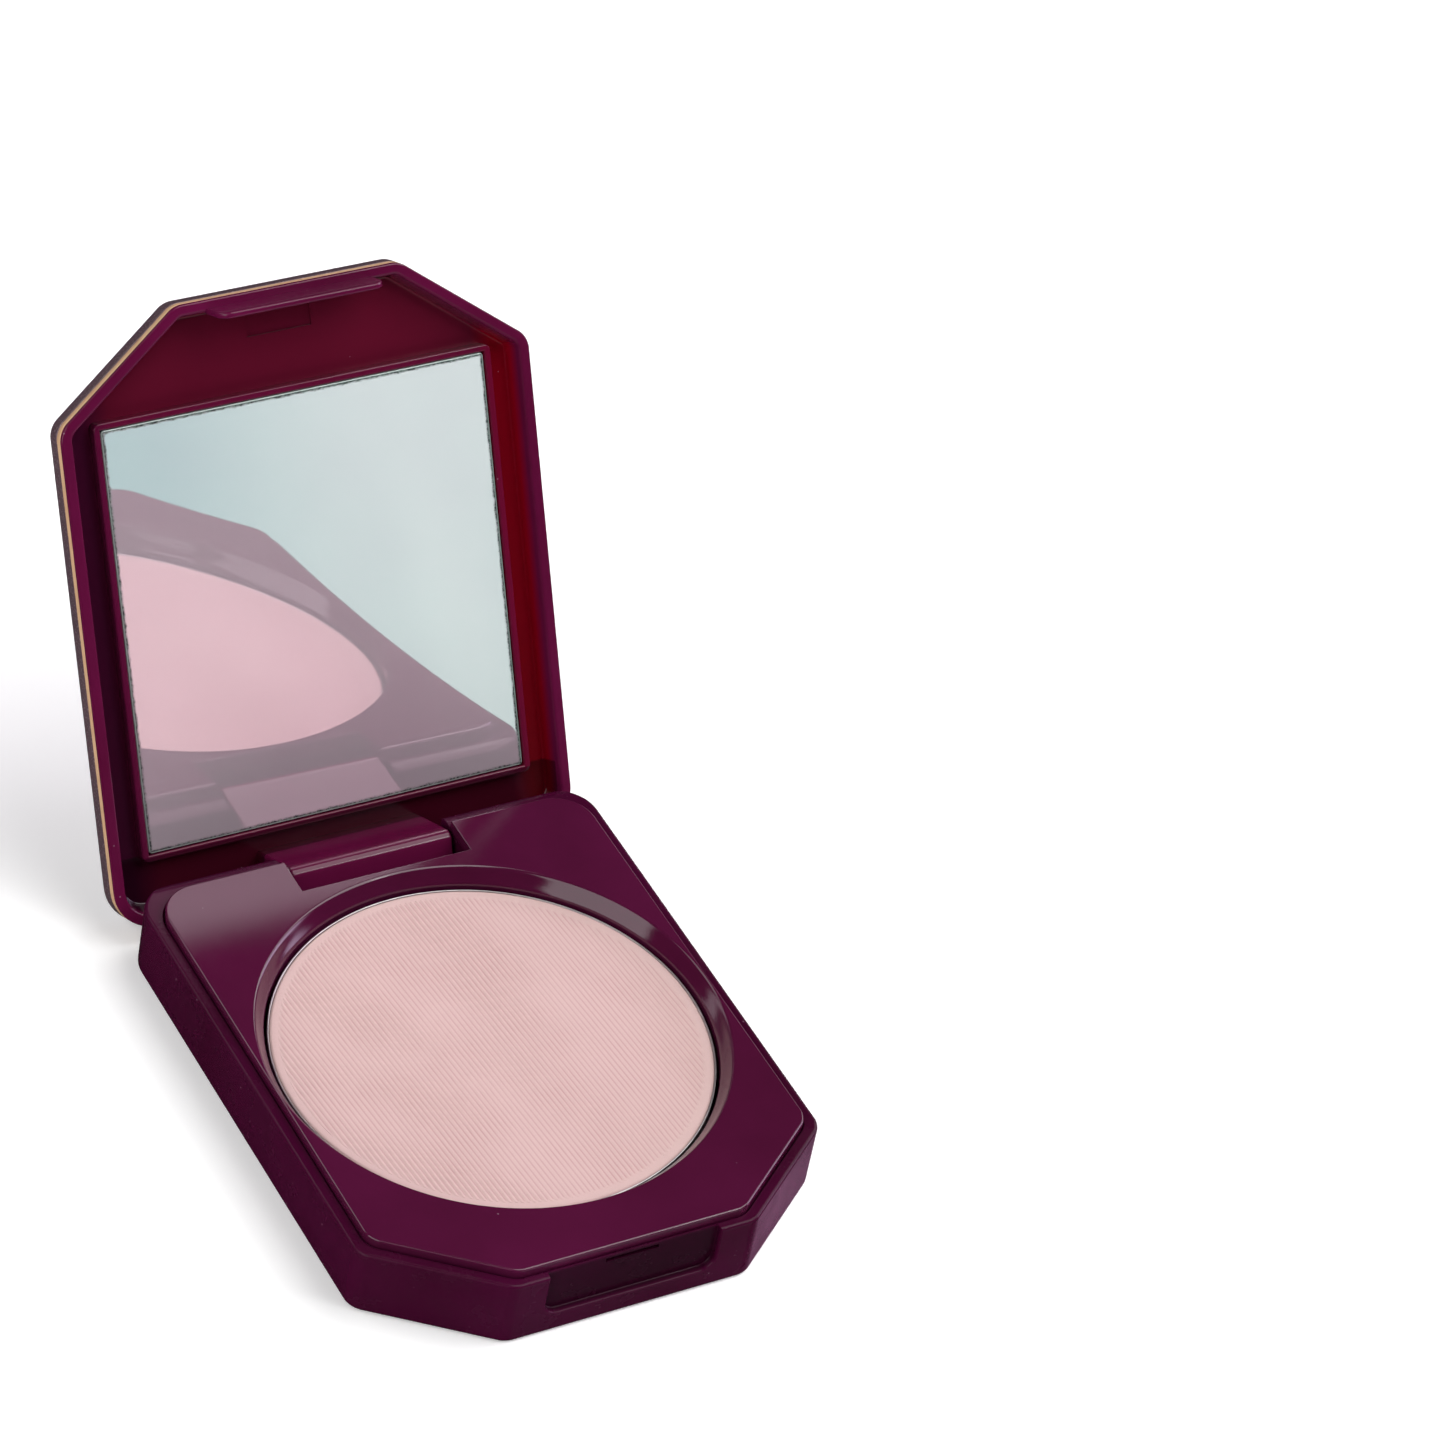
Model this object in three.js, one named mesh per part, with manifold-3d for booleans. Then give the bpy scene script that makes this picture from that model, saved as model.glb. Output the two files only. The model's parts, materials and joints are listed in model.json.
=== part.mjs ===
// A pressed-powder compact with a hinged mirror lid, modelled standing open.
//
// Millimetres. +Z is up, +Y points to the hinge, X runs along the hinge pin, and the origin is the
// middle of the flat underside. The compact is sized around its metal powder pan.
import * as THREE from "three";
import { mergeVertices } from "three/addons/utils/BufferGeometryUtils.js";
import Module from "manifold-3d";

const wasm = await Module();
wasm.setup();

// Powder pan: a standard drawn metal cup.
const PAN_DIAMETER = 59;
const PAN_HEIGHT = 5.1;
const PAN_WALL = 0.4;
const PAN_CORNER = 0.8;
const POWDER_GAP = 0.2; // between the powder's side and the pan's wall
const POWDER_RISE = 0.15; // the middle of the powder above the pan's rim
const POWDER_EDGE = 0.5; // bevel round the powder's top

// Thin gaps and glue lines.
const GLUE_GAP = 0.1;
const ADHESIVE_THICKNESS = 0.2;
const PAN_ADHESIVE_DIAMETER = 40;
const MIRROR_ADHESIVE_MARGIN = 4; // from the edge of the glass to the edge of the pad

// Deck: the inner plate with the well for the pan.
const DECK_THICKNESS = 1.5;
const DECK_RISE = 1.2; // deck above the ledge that the lid closes on
const DECK_EDGE = 0.3;
const DECK_CLEARANCE = 0.1;
const WELL_GAP = 0.4; // round the pan
const WELL_WALL = 1.1;
const WELL_FLOOR = 1;
const WELL_LIP_FLARE = 1.3;
const WELL_LIP_HEIGHT = 1.9;
const WELL_LIP_MARGIN = 0.5; // deck left beside the lip at its narrowest
const PAN_SINK = 2.5; // pan's rim below the deck

// Base shell.
const FLOOR = 1.3;
const UNDER_WELL_GAP = 1.2;
const SIDE_LEDGE = 1.8;
const FRONT_LEDGE = 1.5;
const BACK_LEDGE = 2.4;
const CHAMFER_LEDGE = 1.8;
const FRONT_MARGIN = 11.1; // from the pan to the front face
const CHAMFER_X = 16.2;
const CHAMFER_Y = 12.2;
const CHAMFER_FILLET = 3;
const BACK_CORNER = 5.5;
const FOOT_EDGE = 0.8;
const POST_RADIUS = 2;
const POST_ANGLES = [42, 138, 234, 306]; // degrees round the well

// Thumb recess and latch at the front.
const RECESS_WIDTH = 24.6;
const RECESS_HEIGHT = 7;
const RECESS_DEPTH = 1.1;
const RECESS_CORNER = 2.2;
const BOSS_MARGIN = 1.7; // the thicker wall behind the recess, past each side of it
const BOSS_THICKNESS = 2;
const TAB_CLEARANCE = 0.3; // beside the tab
const TAB_GAP = 0.15; // behind the tab
const TAB_THICKNESS = 0.85;
const TAB_LENGTH = 4.65;
const TAB_CORNER = 1.8;
const CATCH_DROP = 0.6; // from the ledge down to the catch slot
const CATCH_HEIGHT = 0.6;
const CATCH_DEPTH = 0.6;
const CATCH_CLEARANCE = 0.1; // above and below the lug
const LUG_WIDTH = 7;
const LUG_REACH = 0.15; // past the recess panel

// Hinge.
const OPEN_ANGLE = 118; // degrees from closed to the resting pose
const HINGE_DROP = 4; // pin axis below the ledge
const HINGE_INSET = 2.3; // pin axis in front of the back face
const PIN_DIAMETER = 1.6;
const PIN_LENGTH = 12.5;
const PIN_CLEARANCE = 0.15;
const PIN_END_GAP = 0.2;
const KNUCKLE_WIDTH = 24;
const KNUCKLE_REACH = 3.5; // pin axis to the knuckle's front face and underside
const KNUCKLE_BACK_INSET = 0.2;
const KNUCKLE_CORNER = 1.3;
const KNUCKLE_SIDE_GAP = 0.5;
const KNUCKLE_SWEEP_GAP = 1.6; // from the turning knuckle to the notch's front wall
const NOTCH_WALL = 1.2;
const PIN_BLOCK_WIDTH = 7.5;
const PIN_END_WALL = 1; // of the block past the pin
const SWEEP_CLEARANCE = 0.05; // between the turning rim and the rounded back edge of the base

// Lid.
const LID_SEAT_GAP = 0.15;
const LID_SIDE_OVERHANG = 0.7;
const LID_FRONT_OVERHANG = 1;
const LID_CHAMFER_OVERHANG = 0.2;
const LID_RIM = 1.6;
const LID_WALL_SLOPE = 0.8;
const LID_CAVITY_DEPTH = 3.15;
const LID_PLATE = 1;
const FLANGE_THICKNESS = 0.55;
const RING_THICKNESS = 1.1;
const RING_WIDTH = 1.1;
const COVER_THICKNESS = 1.15;
const COVER_ROUNDING = 2;
const MIRROR_THICKNESS = 1;
const MIRROR_SIDE_MARGIN = 6.2; // from the lid's side to the glass
const MIRROR_FRONT_MARGIN = 14.8;
const MIRROR_HINGE_MARGIN = 3.6; // from the knuckle to the glass
const MIRROR_CORNER = 0.5;
const MIRROR_CLEARANCE = 0.15;
const MIRROR_FRAME_WIDTH = 0.9;
const MIRROR_FRAME_STAND = 0.35; // frame above the glass

// Facets.
const ARC_STEPS = 3;
const ROUND_SIDES = 56;
const PIN_SIDES = 16;
const NEARLY_SHARP = 0.01; // radius of a corner that is buried in the body it joins
const PAST = 1; // how far a cutting shape runs past what it cuts

// Levels, from the underside up.
const WELL_BOTTOM = FLOOR + UNDER_WELL_GAP;
const WELL_FLOOR_TOP = WELL_BOTTOM + WELL_FLOOR;
const PAN_BOTTOM = WELL_FLOOR_TOP + ADHESIVE_THICKNESS + 2 * GLUE_GAP;
const PAN_RIM = PAN_BOTTOM + PAN_HEIGHT;
const DECK_TOP = PAN_RIM + PAN_SINK;
const DECK_BOTTOM = DECK_TOP - DECK_THICKNESS;
const LEDGE = DECK_TOP - DECK_RISE;
const SUPPORT_TOP = DECK_BOTTOM - DECK_CLEARANCE;
const HINGE_Z = LEDGE - HINGE_DROP;
const LID_SEAT = LEDGE + LID_SEAT_GAP;
const FLANGE_TOP = LID_SEAT + FLANGE_THICKNESS;
const RING_BOTTOM = FLANGE_TOP + GLUE_GAP;
const RING_TOP = RING_BOTTOM + RING_THICKNESS;
const COVER_BOTTOM = RING_TOP + GLUE_GAP;
const CAVITY_FLOOR = LID_SEAT + LID_CAVITY_DEPTH;
const PLATE_TOP = CAVITY_FLOOR + LID_PLATE;
const COVER_INSIDE = PLATE_TOP + GLUE_GAP;
const COVER_TOP = COVER_INSIDE + COVER_THICKNESS;
const PAD_TOP = CAVITY_FLOOR - GLUE_GAP;
const GLASS_BACK = PAD_TOP - ADHESIVE_THICKNESS - GLUE_GAP;
const GLASS_FACE = GLASS_BACK - MIRROR_THICKNESS;

// Radii, and places along Y, from the middle of the pan.
const PAN_RADIUS = PAN_DIAMETER / 2;
const WELL_RADIUS = PAN_RADIUS + WELL_GAP;
const WELL_OUTER_RADIUS = WELL_RADIUS + WELL_WALL;
const LIP_RADIUS = WELL_RADIUS + WELL_LIP_FLARE;
const KNUCKLE_SWEEP = Math.SQRT2 * (KNUCKLE_REACH - KNUCKLE_CORNER) + KNUCKLE_CORNER;
const HOUSING_FRONT = WELL_OUTER_RADIUS + DECK_CLEARANCE;
const NOTCH_FRONT = HOUSING_FRONT + NOTCH_WALL;
const HINGE_Y = NOTCH_FRONT + KNUCKLE_SWEEP + KNUCKLE_SWEEP_GAP;
const NOTCH_HALF_WIDTH = KNUCKLE_WIDTH / 2 + KNUCKLE_SIDE_GAP;
const HOUSING_HALF_WIDTH = NOTCH_HALF_WIDTH + PIN_BLOCK_WIDTH;
const KNUCKLE_FRONT = HINGE_Y - KNUCKLE_REACH;

// Outlines seen from above: half width, front and back, and the chamfers across the front corners.
const BASE_PLAN = {
  halfWidth: LIP_RADIUS + WELL_LIP_MARGIN + SIDE_LEDGE,
  front: -PAN_RADIUS - FRONT_MARGIN,
  back: HINGE_Y + HINGE_INSET,
  chamferX: CHAMFER_X,
  chamferY: CHAMFER_Y,
};
const DECK_PLAN = inset(BASE_PLAN, {
  side: SIDE_LEDGE,
  front: FRONT_LEDGE,
  back: BACK_LEDGE,
  chamfer: CHAMFER_LEDGE,
});
const LID_PLAN = inset(BASE_PLAN, {
  side: -LID_SIDE_OVERHANG,
  front: -LID_FRONT_OVERHANG,
  back: 0,
  chamfer: -LID_CHAMFER_OVERHANG,
});
const MIRROR = {
  halfWidth: LID_PLAN.halfWidth - MIRROR_SIDE_MARGIN,
  front: LID_PLAN.front + MIRROR_FRONT_MARGIN,
  back: KNUCKLE_FRONT - MIRROR_HINGE_MARGIN,
};

// Recess panel and tab, across the front.
const PANEL_Y = BASE_PLAN.front + RECESS_DEPTH;
const TAB_BACK = PANEL_Y - TAB_GAP;
const CATCH_TOP = LEDGE - CATCH_DROP;
const CATCH_BOTTOM = CATCH_TOP - CATCH_HEIGHT;

// The outline moved inwards by a distance of its own on the sides, front, back and chamfers.
function inset(plan, move) {
  const slant = Math.hypot(plan.chamferX, plan.chamferY);
  const normalX = plan.chamferY / slant;
  const normalY = plan.chamferX / slant;
  const halfWidth = plan.halfWidth - move.side;
  const front = plan.front + move.front;
  const reach = normalX * (plan.halfWidth - plan.chamferX) - normalY * plan.front - move.chamfer;
  return {
    halfWidth,
    front,
    back: plan.back - move.back,
    chamferX: halfWidth - (reach + normalY * front) / normalX,
    chamferY: (normalX * halfWidth - reach) / normalY - front,
  };
}

// The outline moved inwards by the same distance all round.
function insetAll(plan, distance) {
  return inset(plan, { side: distance, front: distance, back: distance, chamfer: distance });
}

// A closed counter-clockwise outline through corners [x, y, radius], each rounded by an arc.
function roundedShape(corners) {
  const shape = new THREE.Shape();
  corners.forEach(([x, y, radius], index) => {
    const corner = new THREE.Vector2(x, y);
    const [beforeX, beforeY] = corners.at(index - 1);
    const [afterX, afterY] = corners[(index + 1) % corners.length];
    const toBefore = new THREE.Vector2(beforeX, beforeY).sub(corner).normalize();
    const toAfter = new THREE.Vector2(afterX, afterY).sub(corner).normalize();
    const halfAngle = Math.acos(toBefore.dot(toAfter)) / 2;
    const start = corner.clone().addScaledVector(toBefore, radius / Math.tan(halfAngle));
    const end = corner.clone().addScaledVector(toAfter, radius / Math.tan(halfAngle));
    const inwards = toBefore.clone().add(toAfter).normalize();
    const centre = corner.clone().addScaledVector(inwards, radius / Math.sin(halfAngle));
    const from = start.sub(centre).angle();
    const to = end.sub(centre).angle();
    shape.absarc(centre.x, centre.y, radius, from, to, toBefore.cross(toAfter) > 0);
  });
  return shape;
}

// The compact's outline: square at the back, chamfered at the front.
function planShape(plan, backRadius = BACK_CORNER, fillet = CHAMFER_FILLET) {
  const { halfWidth, front, back, chamferX, chamferY } = plan;
  return roundedShape([
    [halfWidth, back, backRadius],
    [-halfWidth, back, backRadius],
    [-halfWidth, front + chamferY, fillet],
    [-halfWidth + chamferX, front, fillet],
    [halfWidth - chamferX, front, fillet],
    [halfWidth, front + chamferY, fillet],
  ]);
}

function rectangleShape(halfWidth, low, high, radius) {
  return roundedShape([
    [halfWidth, high, radius],
    [-halfWidth, high, radius],
    [-halfWidth, low, radius],
    [halfWidth, low, radius],
  ]);
}

// A closed geometry as a solid that can be cut and joined.
function solid(geometry) {
  geometry.deleteAttribute("normal");
  geometry.deleteAttribute("uv");
  const merged = mergeVertices(geometry);
  const mesh = new wasm.Mesh({
    numProp: 3,
    vertProperties: merged.attributes.position.array,
    triVerts: new Uint32Array(merged.index.array),
  });
  return new wasm.Manifold(mesh);
}

function block([x0, x1], [y0, y1], [z0, z1]) {
  const geometry = new THREE.BoxGeometry(x1 - x0, y1 - y0, z1 - z0);
  return solid(geometry.translate((x0 + x1) / 2, (y0 + y1) / 2, (z0 + z1) / 2));
}

// A slab wider than the whole compact, for trimming a body to a level.
function slab(bottom, top) {
  const reach = 2 * PAN_DIAMETER;
  return block([-reach, reach], [-reach, reach], [bottom, top]);
}

function extruded(shape, depth) {
  return new THREE.ExtrudeGeometry(shape, { depth, bevelEnabled: false, curveSegments: ARC_STEPS });
}

function prism(shape, bottom, top) {
  return solid(extruded(shape, top - bottom).translate(0, 0, bottom));
}

// A prism that narrows by run over the last rise of both its ends: rounded, or sloped at one step.
function edgedPrism(shape, bottom, top, run, rise, steps) {
  const geometry = new THREE.ExtrudeGeometry(shape, {
    depth: top - bottom - 2 * rise,
    bevelThickness: rise,
    bevelSize: run,
    bevelOffset: -run,
    bevelSegments: steps,
    curveSegments: ARC_STEPS,
  });
  return solid(geometry.translate(0, 0, bottom + rise));
}

// A plate standing across Y, from an outline in X and Z.
function uprightPrism(shape, front, back) {
  return solid(extruded(shape, back - front).rotateX(Math.PI / 2).translate(0, back, 0));
}

// A bar along X, centred, from an outline in Y and Z.
function barAlongX(shape, halfLength) {
  const geometry = extruded(shape, 2 * halfLength).rotateX(Math.PI / 2).rotateZ(Math.PI / 2);
  return solid(geometry.translate(-halfLength, 0, 0));
}

function disc(radius, bottom, top, sides = ROUND_SIDES) {
  const geometry = new THREE.CylinderGeometry(radius, radius, top - bottom, sides);
  return solid(geometry.rotateX(Math.PI / 2).translate(0, 0, (bottom + top) / 2));
}

function pinCylinder(radius, from, to, sides = PIN_SIDES) {
  const geometry = new THREE.CylinderGeometry(radius, radius, to - from, sides);
  return solid(geometry.rotateZ(Math.PI / 2).translate((from + to) / 2, HINGE_Y, HINGE_Z));
}

// A body turned about Z, from a profile [radius, z] that runs up the outside.
function turned(profile) {
  const points = profile.map(([radius, z]) => new THREE.Vector2(radius, z));
  return solid(new THREE.LatheGeometry(points, ROUND_SIDES).rotateX(Math.PI / 2));
}

// The two ends of a pin along X, lower first.
function pinSpan(side) {
  const outer = HOUSING_HALF_WIDTH - PIN_END_WALL;
  const ends = [side * outer, side * (outer - PIN_LENGTH)];
  return [Math.min(...ends), Math.max(...ends)];
}

function baseBody() {
  const outline = planShape(BASE_PLAN);
  const tallTop = LEDGE + 2 * FOOT_EDGE;
  const tall = edgedPrism(outline, 0, tallTop, FOOT_EDGE, FOOT_EDGE, 2);
  const inside = prism(planShape(insetAll(DECK_PLAN, -DECK_CLEARANCE)), FLOOR, LEDGE + PAST);
  return tall.subtract(slab(LEDGE, tallTop + PAST)).subtract(inside);
}

function deckPosts() {
  return POST_ANGLES.map((degrees) => {
    const angle = THREE.MathUtils.degToRad(degrees);
    const reach = WELL_OUTER_RADIUS + DECK_CLEARANCE + POST_RADIUS + PAST;
    const post = disc(POST_RADIUS, FLOOR / 2, SUPPORT_TOP, PIN_SIDES);
    return post.translate([reach * Math.cos(angle), reach * Math.sin(angle), 0]);
  });
}

// The thicker wall round the thumb recess, which also carries the catch slot.
function latchBoss() {
  const half = RECESS_WIDTH / 2 + BOSS_MARGIN;
  const wallInside = DECK_PLAN.front - DECK_CLEARANCE;
  return block([-half, half], [PANEL_Y, wallInside + BOSS_THICKNESS], [FLOOR / 2, SUPPORT_TOP]);
}

function thumbRecess() {
  const top = LEDGE + RECESS_CORNER + PAST;
  const shape = rectangleShape(RECESS_WIDTH / 2, LEDGE - RECESS_HEIGHT, top, RECESS_CORNER);
  return uprightPrism(shape, BASE_PLAN.front - PAST, PANEL_Y);
}

function catchSlot() {
  const half = LUG_WIDTH / 2 + TAB_CLEARANCE;
  return block([-half, half], [PANEL_Y - PAST, PANEL_Y + CATCH_DEPTH], [CATCH_BOTTOM, CATCH_TOP]);
}

// The walls at the back that hold the hinge pins, with the notch for the knuckle between them.
function hingeHousing() {
  const half = HOUSING_HALF_WIDTH;
  const wallInside = DECK_PLAN.back + DECK_CLEARANCE;
  return block([-half, half], [HOUSING_FRONT, wallInside + PAST / 2], [FLOOR / 2, SUPPORT_TOP]);
}

function knuckleNotch(bottom, top) {
  const half = NOTCH_HALF_WIDTH;
  return block([-half, half], [NOTCH_FRONT, BASE_PLAN.back + PAST], [bottom, top]);
}

// What the lid's rim sweeps through as it turns: all of the back edge outside this radius.
function backEdgeSweep() {
  const radius = HINGE_DROP + LID_SEAT_GAP - SWEEP_CLEARANCE;
  const half = BASE_PLAN.halfWidth + PAST;
  const low = HINGE_Z + radius / 2;
  const corner = block([-half, half], [HINGE_Y, BASE_PLAN.back + PAST], [low, LEDGE + PAST]);
  return corner.subtract(pinCylinder(radius, -half - PAST, half + PAST, ROUND_SIDES));
}

function pinBores() {
  return [-1, 1].map((side) => {
    const [from, to] = pinSpan(side);
    return pinCylinder(PIN_DIAMETER / 2 + PIN_CLEARANCE, from - PIN_END_GAP, to + PIN_END_GAP);
  });
}

function baseShell() {
  const notch = knuckleNotch(FLOOR, LEDGE + PAST);
  const joined = [latchBoss(), hingeHousing(), ...deckPosts()];
  const cuts = [thumbRecess(), catchSlot(), notch, backEdgeSweep(), ...pinBores()];
  const whole = joined.reduce((body, piece) => body.add(piece), baseBody());
  return cuts.reduce((body, cut) => body.subtract(cut), whole);
}

function deckPlate() {
  const low = DECK_BOTTOM - 2 * DECK_EDGE;
  const tall = edgedPrism(planShape(DECK_PLAN), low, DECK_TOP, DECK_EDGE, DECK_EDGE, 2);
  const notch = knuckleNotch(DECK_BOTTOM - PAST, DECK_TOP + PAST);
  return tall.subtract(slab(low - PAST, DECK_BOTTOM)).subtract(notch);
}

function baseDeck() {
  const cup = disc(WELL_OUTER_RADIUS, WELL_BOTTOM, DECK_BOTTOM + DECK_THICKNESS / 2);
  const hollow = turned([
    [0, WELL_FLOOR_TOP],
    [WELL_RADIUS, WELL_FLOOR_TOP],
    [WELL_RADIUS, DECK_TOP - WELL_LIP_HEIGHT],
    [LIP_RADIUS, DECK_TOP],
    [LIP_RADIUS, DECK_TOP + PAST],
    [0, DECK_TOP + PAST],
  ]);
  return deckPlate().add(cup).subtract(hollow);
}

function powderPan() {
  const inner = PAN_RADIUS - PAN_WALL;
  return turned([
    [0, PAN_BOTTOM],
    [PAN_RADIUS - PAN_CORNER, PAN_BOTTOM],
    [PAN_RADIUS, PAN_BOTTOM + PAN_CORNER],
    [PAN_RADIUS, PAN_RIM],
    [inner, PAN_RIM],
    [inner, PAN_BOTTOM + PAN_CORNER + PAN_WALL / 2],
    [inner - PAN_CORNER, PAN_BOTTOM + PAN_WALL],
    [0, PAN_BOTTOM + PAN_WALL],
  ]);
}

function pressedPowder() {
  const radius = PAN_RADIUS - PAN_WALL - POWDER_GAP;
  const bottom = PAN_BOTTOM + PAN_WALL + GLUE_GAP;
  return turned([
    [0, bottom],
    [radius - PAN_CORNER - PAN_WALL, bottom],
    [radius, bottom + PAN_CORNER + PAN_WALL],
    [radius, PAN_RIM - POWDER_EDGE],
    [radius - POWDER_EDGE, PAN_RIM],
    [0, PAN_RIM + POWDER_RISE],
  ]);
}

function panAdhesive() {
  const bottom = WELL_FLOOR_TOP + GLUE_GAP;
  return disc(PAN_ADHESIVE_DIAMETER / 2, bottom, bottom + ADHESIVE_THICKNESS, ROUND_SIDES / 2);
}

function hingePin(side) {
  const [from, to] = pinSpan(side);
  return pinCylinder(PIN_DIAMETER / 2, from, to);
}

function lidTray() {
  const flange = prism(planShape(LID_PLAN), LID_SEAT, FLANGE_TOP);
  const core = prism(planShape(insetAll(LID_PLAN, RING_WIDTH + GLUE_GAP)), LID_SEAT, PLATE_TOP);
  const mouth = planShape(insetAll(LID_PLAN, LID_RIM));
  const below = LID_SEAT - LID_CAVITY_DEPTH - PAST;
  const cavity = edgedPrism(mouth, below, CAVITY_FLOOR, LID_WALL_SLOPE, LID_CAVITY_DEPTH, 1);
  return flange.add(core).subtract(cavity);
}

function mirrorFrame() {
  const { halfWidth, front, back } = MIRROR;
  const grow = MIRROR_CLEARANCE + MIRROR_FRAME_WIDTH;
  const low = GLASS_FACE - MIRROR_FRAME_STAND;
  const outer = rectangleShape(halfWidth + grow, front - grow, back + grow, MIRROR_CORNER);
  const gap = MIRROR_CLEARANCE;
  const inner = rectangleShape(halfWidth + gap, front - gap, back + gap, MIRROR_CORNER);
  const ridge = prism(outer, low, CAVITY_FLOOR + LID_PLATE / 2);
  return ridge.subtract(prism(inner, low - PAST, CAVITY_FLOOR));
}

function hingeKnuckle() {
  const back = BASE_PLAN.back - KNUCKLE_BACK_INSET;
  const coreBack = LID_PLAN.back - LID_RIM;
  const bottom = HINGE_Z - KNUCKLE_REACH;
  const top = CAVITY_FLOOR + LID_PLATE / 2;
  const profile = roundedShape([
    [KNUCKLE_FRONT, bottom, KNUCKLE_CORNER],
    [back, bottom, KNUCKLE_CORNER],
    [back, FLANGE_TOP, NEARLY_SHARP],
    [coreBack, FLANGE_TOP, NEARLY_SHARP],
    [coreBack, top, NEARLY_SHARP],
    [KNUCKLE_FRONT, top, NEARLY_SHARP],
  ]);
  return barAlongX(profile, KNUCKLE_WIDTH / 2);
}

function latchTab() {
  const half = RECESS_WIDTH / 2 - TAB_CLEARANCE;
  const front = TAB_BACK - TAB_THICKNESS;
  const tallTop = FLANGE_TOP + TAB_CORNER;
  const shape = rectangleShape(half, LID_SEAT - TAB_LENGTH, tallTop, TAB_CORNER);
  const plate = uprightPrism(shape, front, TAB_BACK).subtract(slab(FLANGE_TOP, tallTop + PAST));
  const root = block([-half, half], [front, LID_PLAN.front + LID_RIM], [LID_SEAT, FLANGE_TOP]);
  const lug = block(
    [-LUG_WIDTH / 2, LUG_WIDTH / 2],
    [TAB_BACK - TAB_THICKNESS / 2, PANEL_Y + LUG_REACH],
    [CATCH_BOTTOM + CATCH_CLEARANCE, CATCH_TOP - CATCH_CLEARANCE],
  );
  return plate.add(root).add(lug);
}

function lidInnerShell() {
  const bore = pinCylinder(PIN_DIAMETER / 2 + PIN_CLEARANCE, -KNUCKLE_WIDTH, KNUCKLE_WIDTH);
  return lidTray().add(mirrorFrame()).add(hingeKnuckle()).add(latchTab()).subtract(bore);
}

function lidTrimRing() {
  const hole = prism(planShape(insetAll(LID_PLAN, RING_WIDTH)), RING_BOTTOM - PAST, RING_TOP + PAST);
  return prism(planShape(LID_PLAN), RING_BOTTOM, RING_TOP).subtract(hole);
}

function lidOuterCover() {
  const low = COVER_BOTTOM - 2 * COVER_ROUNDING;
  const tall = edgedPrism(planShape(LID_PLAN), low, COVER_TOP, COVER_ROUNDING, COVER_ROUNDING, 4);
  const hollow = prism(planShape(insetAll(LID_PLAN, RING_WIDTH)), low, COVER_INSIDE);
  return tall.subtract(slab(low - PAST, COVER_BOTTOM)).subtract(hollow);
}

function mirrorGlass() {
  const { halfWidth, front, back } = MIRROR;
  return prism(rectangleShape(halfWidth, front, back, MIRROR_CORNER), GLASS_FACE, GLASS_BACK);
}

function mirrorAdhesive() {
  const half = MIRROR.halfWidth - MIRROR_ADHESIVE_MARGIN;
  const front = MIRROR.front + MIRROR_ADHESIVE_MARGIN;
  const back = MIRROR.back - MIRROR_ADHESIVE_MARGIN;
  return prism(rectangleShape(half, front, back, MIRROR_CORNER), PAD_TOP - ADHESIVE_THICKNESS, PAD_TOP);
}

const FINISHES = {
  plumPlastic: { color: 0x5a1040, roughness: 0.15, metalness: 0 },
  powder: { color: 0xe5c6c3, roughness: 0.95, metalness: 0 },
  panMetal: { color: 0xc8c8ca, roughness: 0.3, metalness: 1 },
  pinSteel: { color: 0xa8a8ac, roughness: 0.25, metalness: 1 },
  roseGold: { color: 0xe5b8a0, roughness: 0.2, metalness: 1 },
  taupePearl: { color: 0x857578, roughness: 0.3, metalness: 0.2 },
  mirror: { color: 0xc5d5d0, roughness: 0.02, metalness: 1 },
  adhesive: { color: 0xd8d4c8, roughness: 0.6, metalness: 0 },
};

function named(name, made, finish) {
  const { vertProperties, triVerts } = made.getMesh();
  const geometry = new THREE.BufferGeometry();
  geometry.setAttribute("position", new THREE.BufferAttribute(vertProperties, 3));
  geometry.setIndex(new THREE.BufferAttribute(triVerts, 1));
  geometry.computeVertexNormals();
  const mesh = new THREE.Mesh(geometry, new THREE.MeshStandardMaterial(finish));
  mesh.name = name;
  return mesh;
}

function baseGroup() {
  const group = new THREE.Group();
  group.add(named("base_shell", baseShell(), FINISHES.plumPlastic));
  group.add(named("base_deck", baseDeck(), FINISHES.plumPlastic));
  group.add(named("pan_adhesive", panAdhesive(), FINISHES.adhesive));
  group.add(named("powder_pan", powderPan(), FINISHES.panMetal));
  group.add(named("pressed_powder", pressedPowder(), FINISHES.powder));
  group.add(named("hinge_pin_left", hingePin(-1), FINISHES.pinSteel));
  group.add(named("hinge_pin_right", hingePin(1), FINISHES.pinSteel));
  return group;
}

// The lid's pieces are drawn closed, then swung open together about the pin axis.
function lidGroup() {
  const closed = new THREE.Group();
  closed.position.set(0, -HINGE_Y, -HINGE_Z);
  closed.add(named("lid_inner_shell", lidInnerShell(), FINISHES.plumPlastic));
  closed.add(named("lid_trim_ring", lidTrimRing(), FINISHES.roseGold));
  closed.add(named("lid_outer_cover", lidOuterCover(), FINISHES.taupePearl));
  closed.add(named("mirror_glass", mirrorGlass(), FINISHES.mirror));
  closed.add(named("mirror_adhesive", mirrorAdhesive(), FINISHES.adhesive));
  const swung = new THREE.Group();
  swung.position.set(0, HINGE_Y, HINGE_Z);
  swung.rotation.x = -THREE.MathUtils.degToRad(OPEN_ANGLE);
  swung.add(closed);
  return swung;
}

const compact = new THREE.Group();
compact.add(baseGroup());
compact.add(lidGroup());

export default compact;
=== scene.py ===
"""A pressed-powder compact, standing open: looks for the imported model, studio and camera."""

import json
import logging
import math
from dataclasses import dataclass, field
from enum import Enum
from typing import Callable, Iterable

import bmesh
import bpy
import numpy as np
from mathutils import Matrix, Vector


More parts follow.
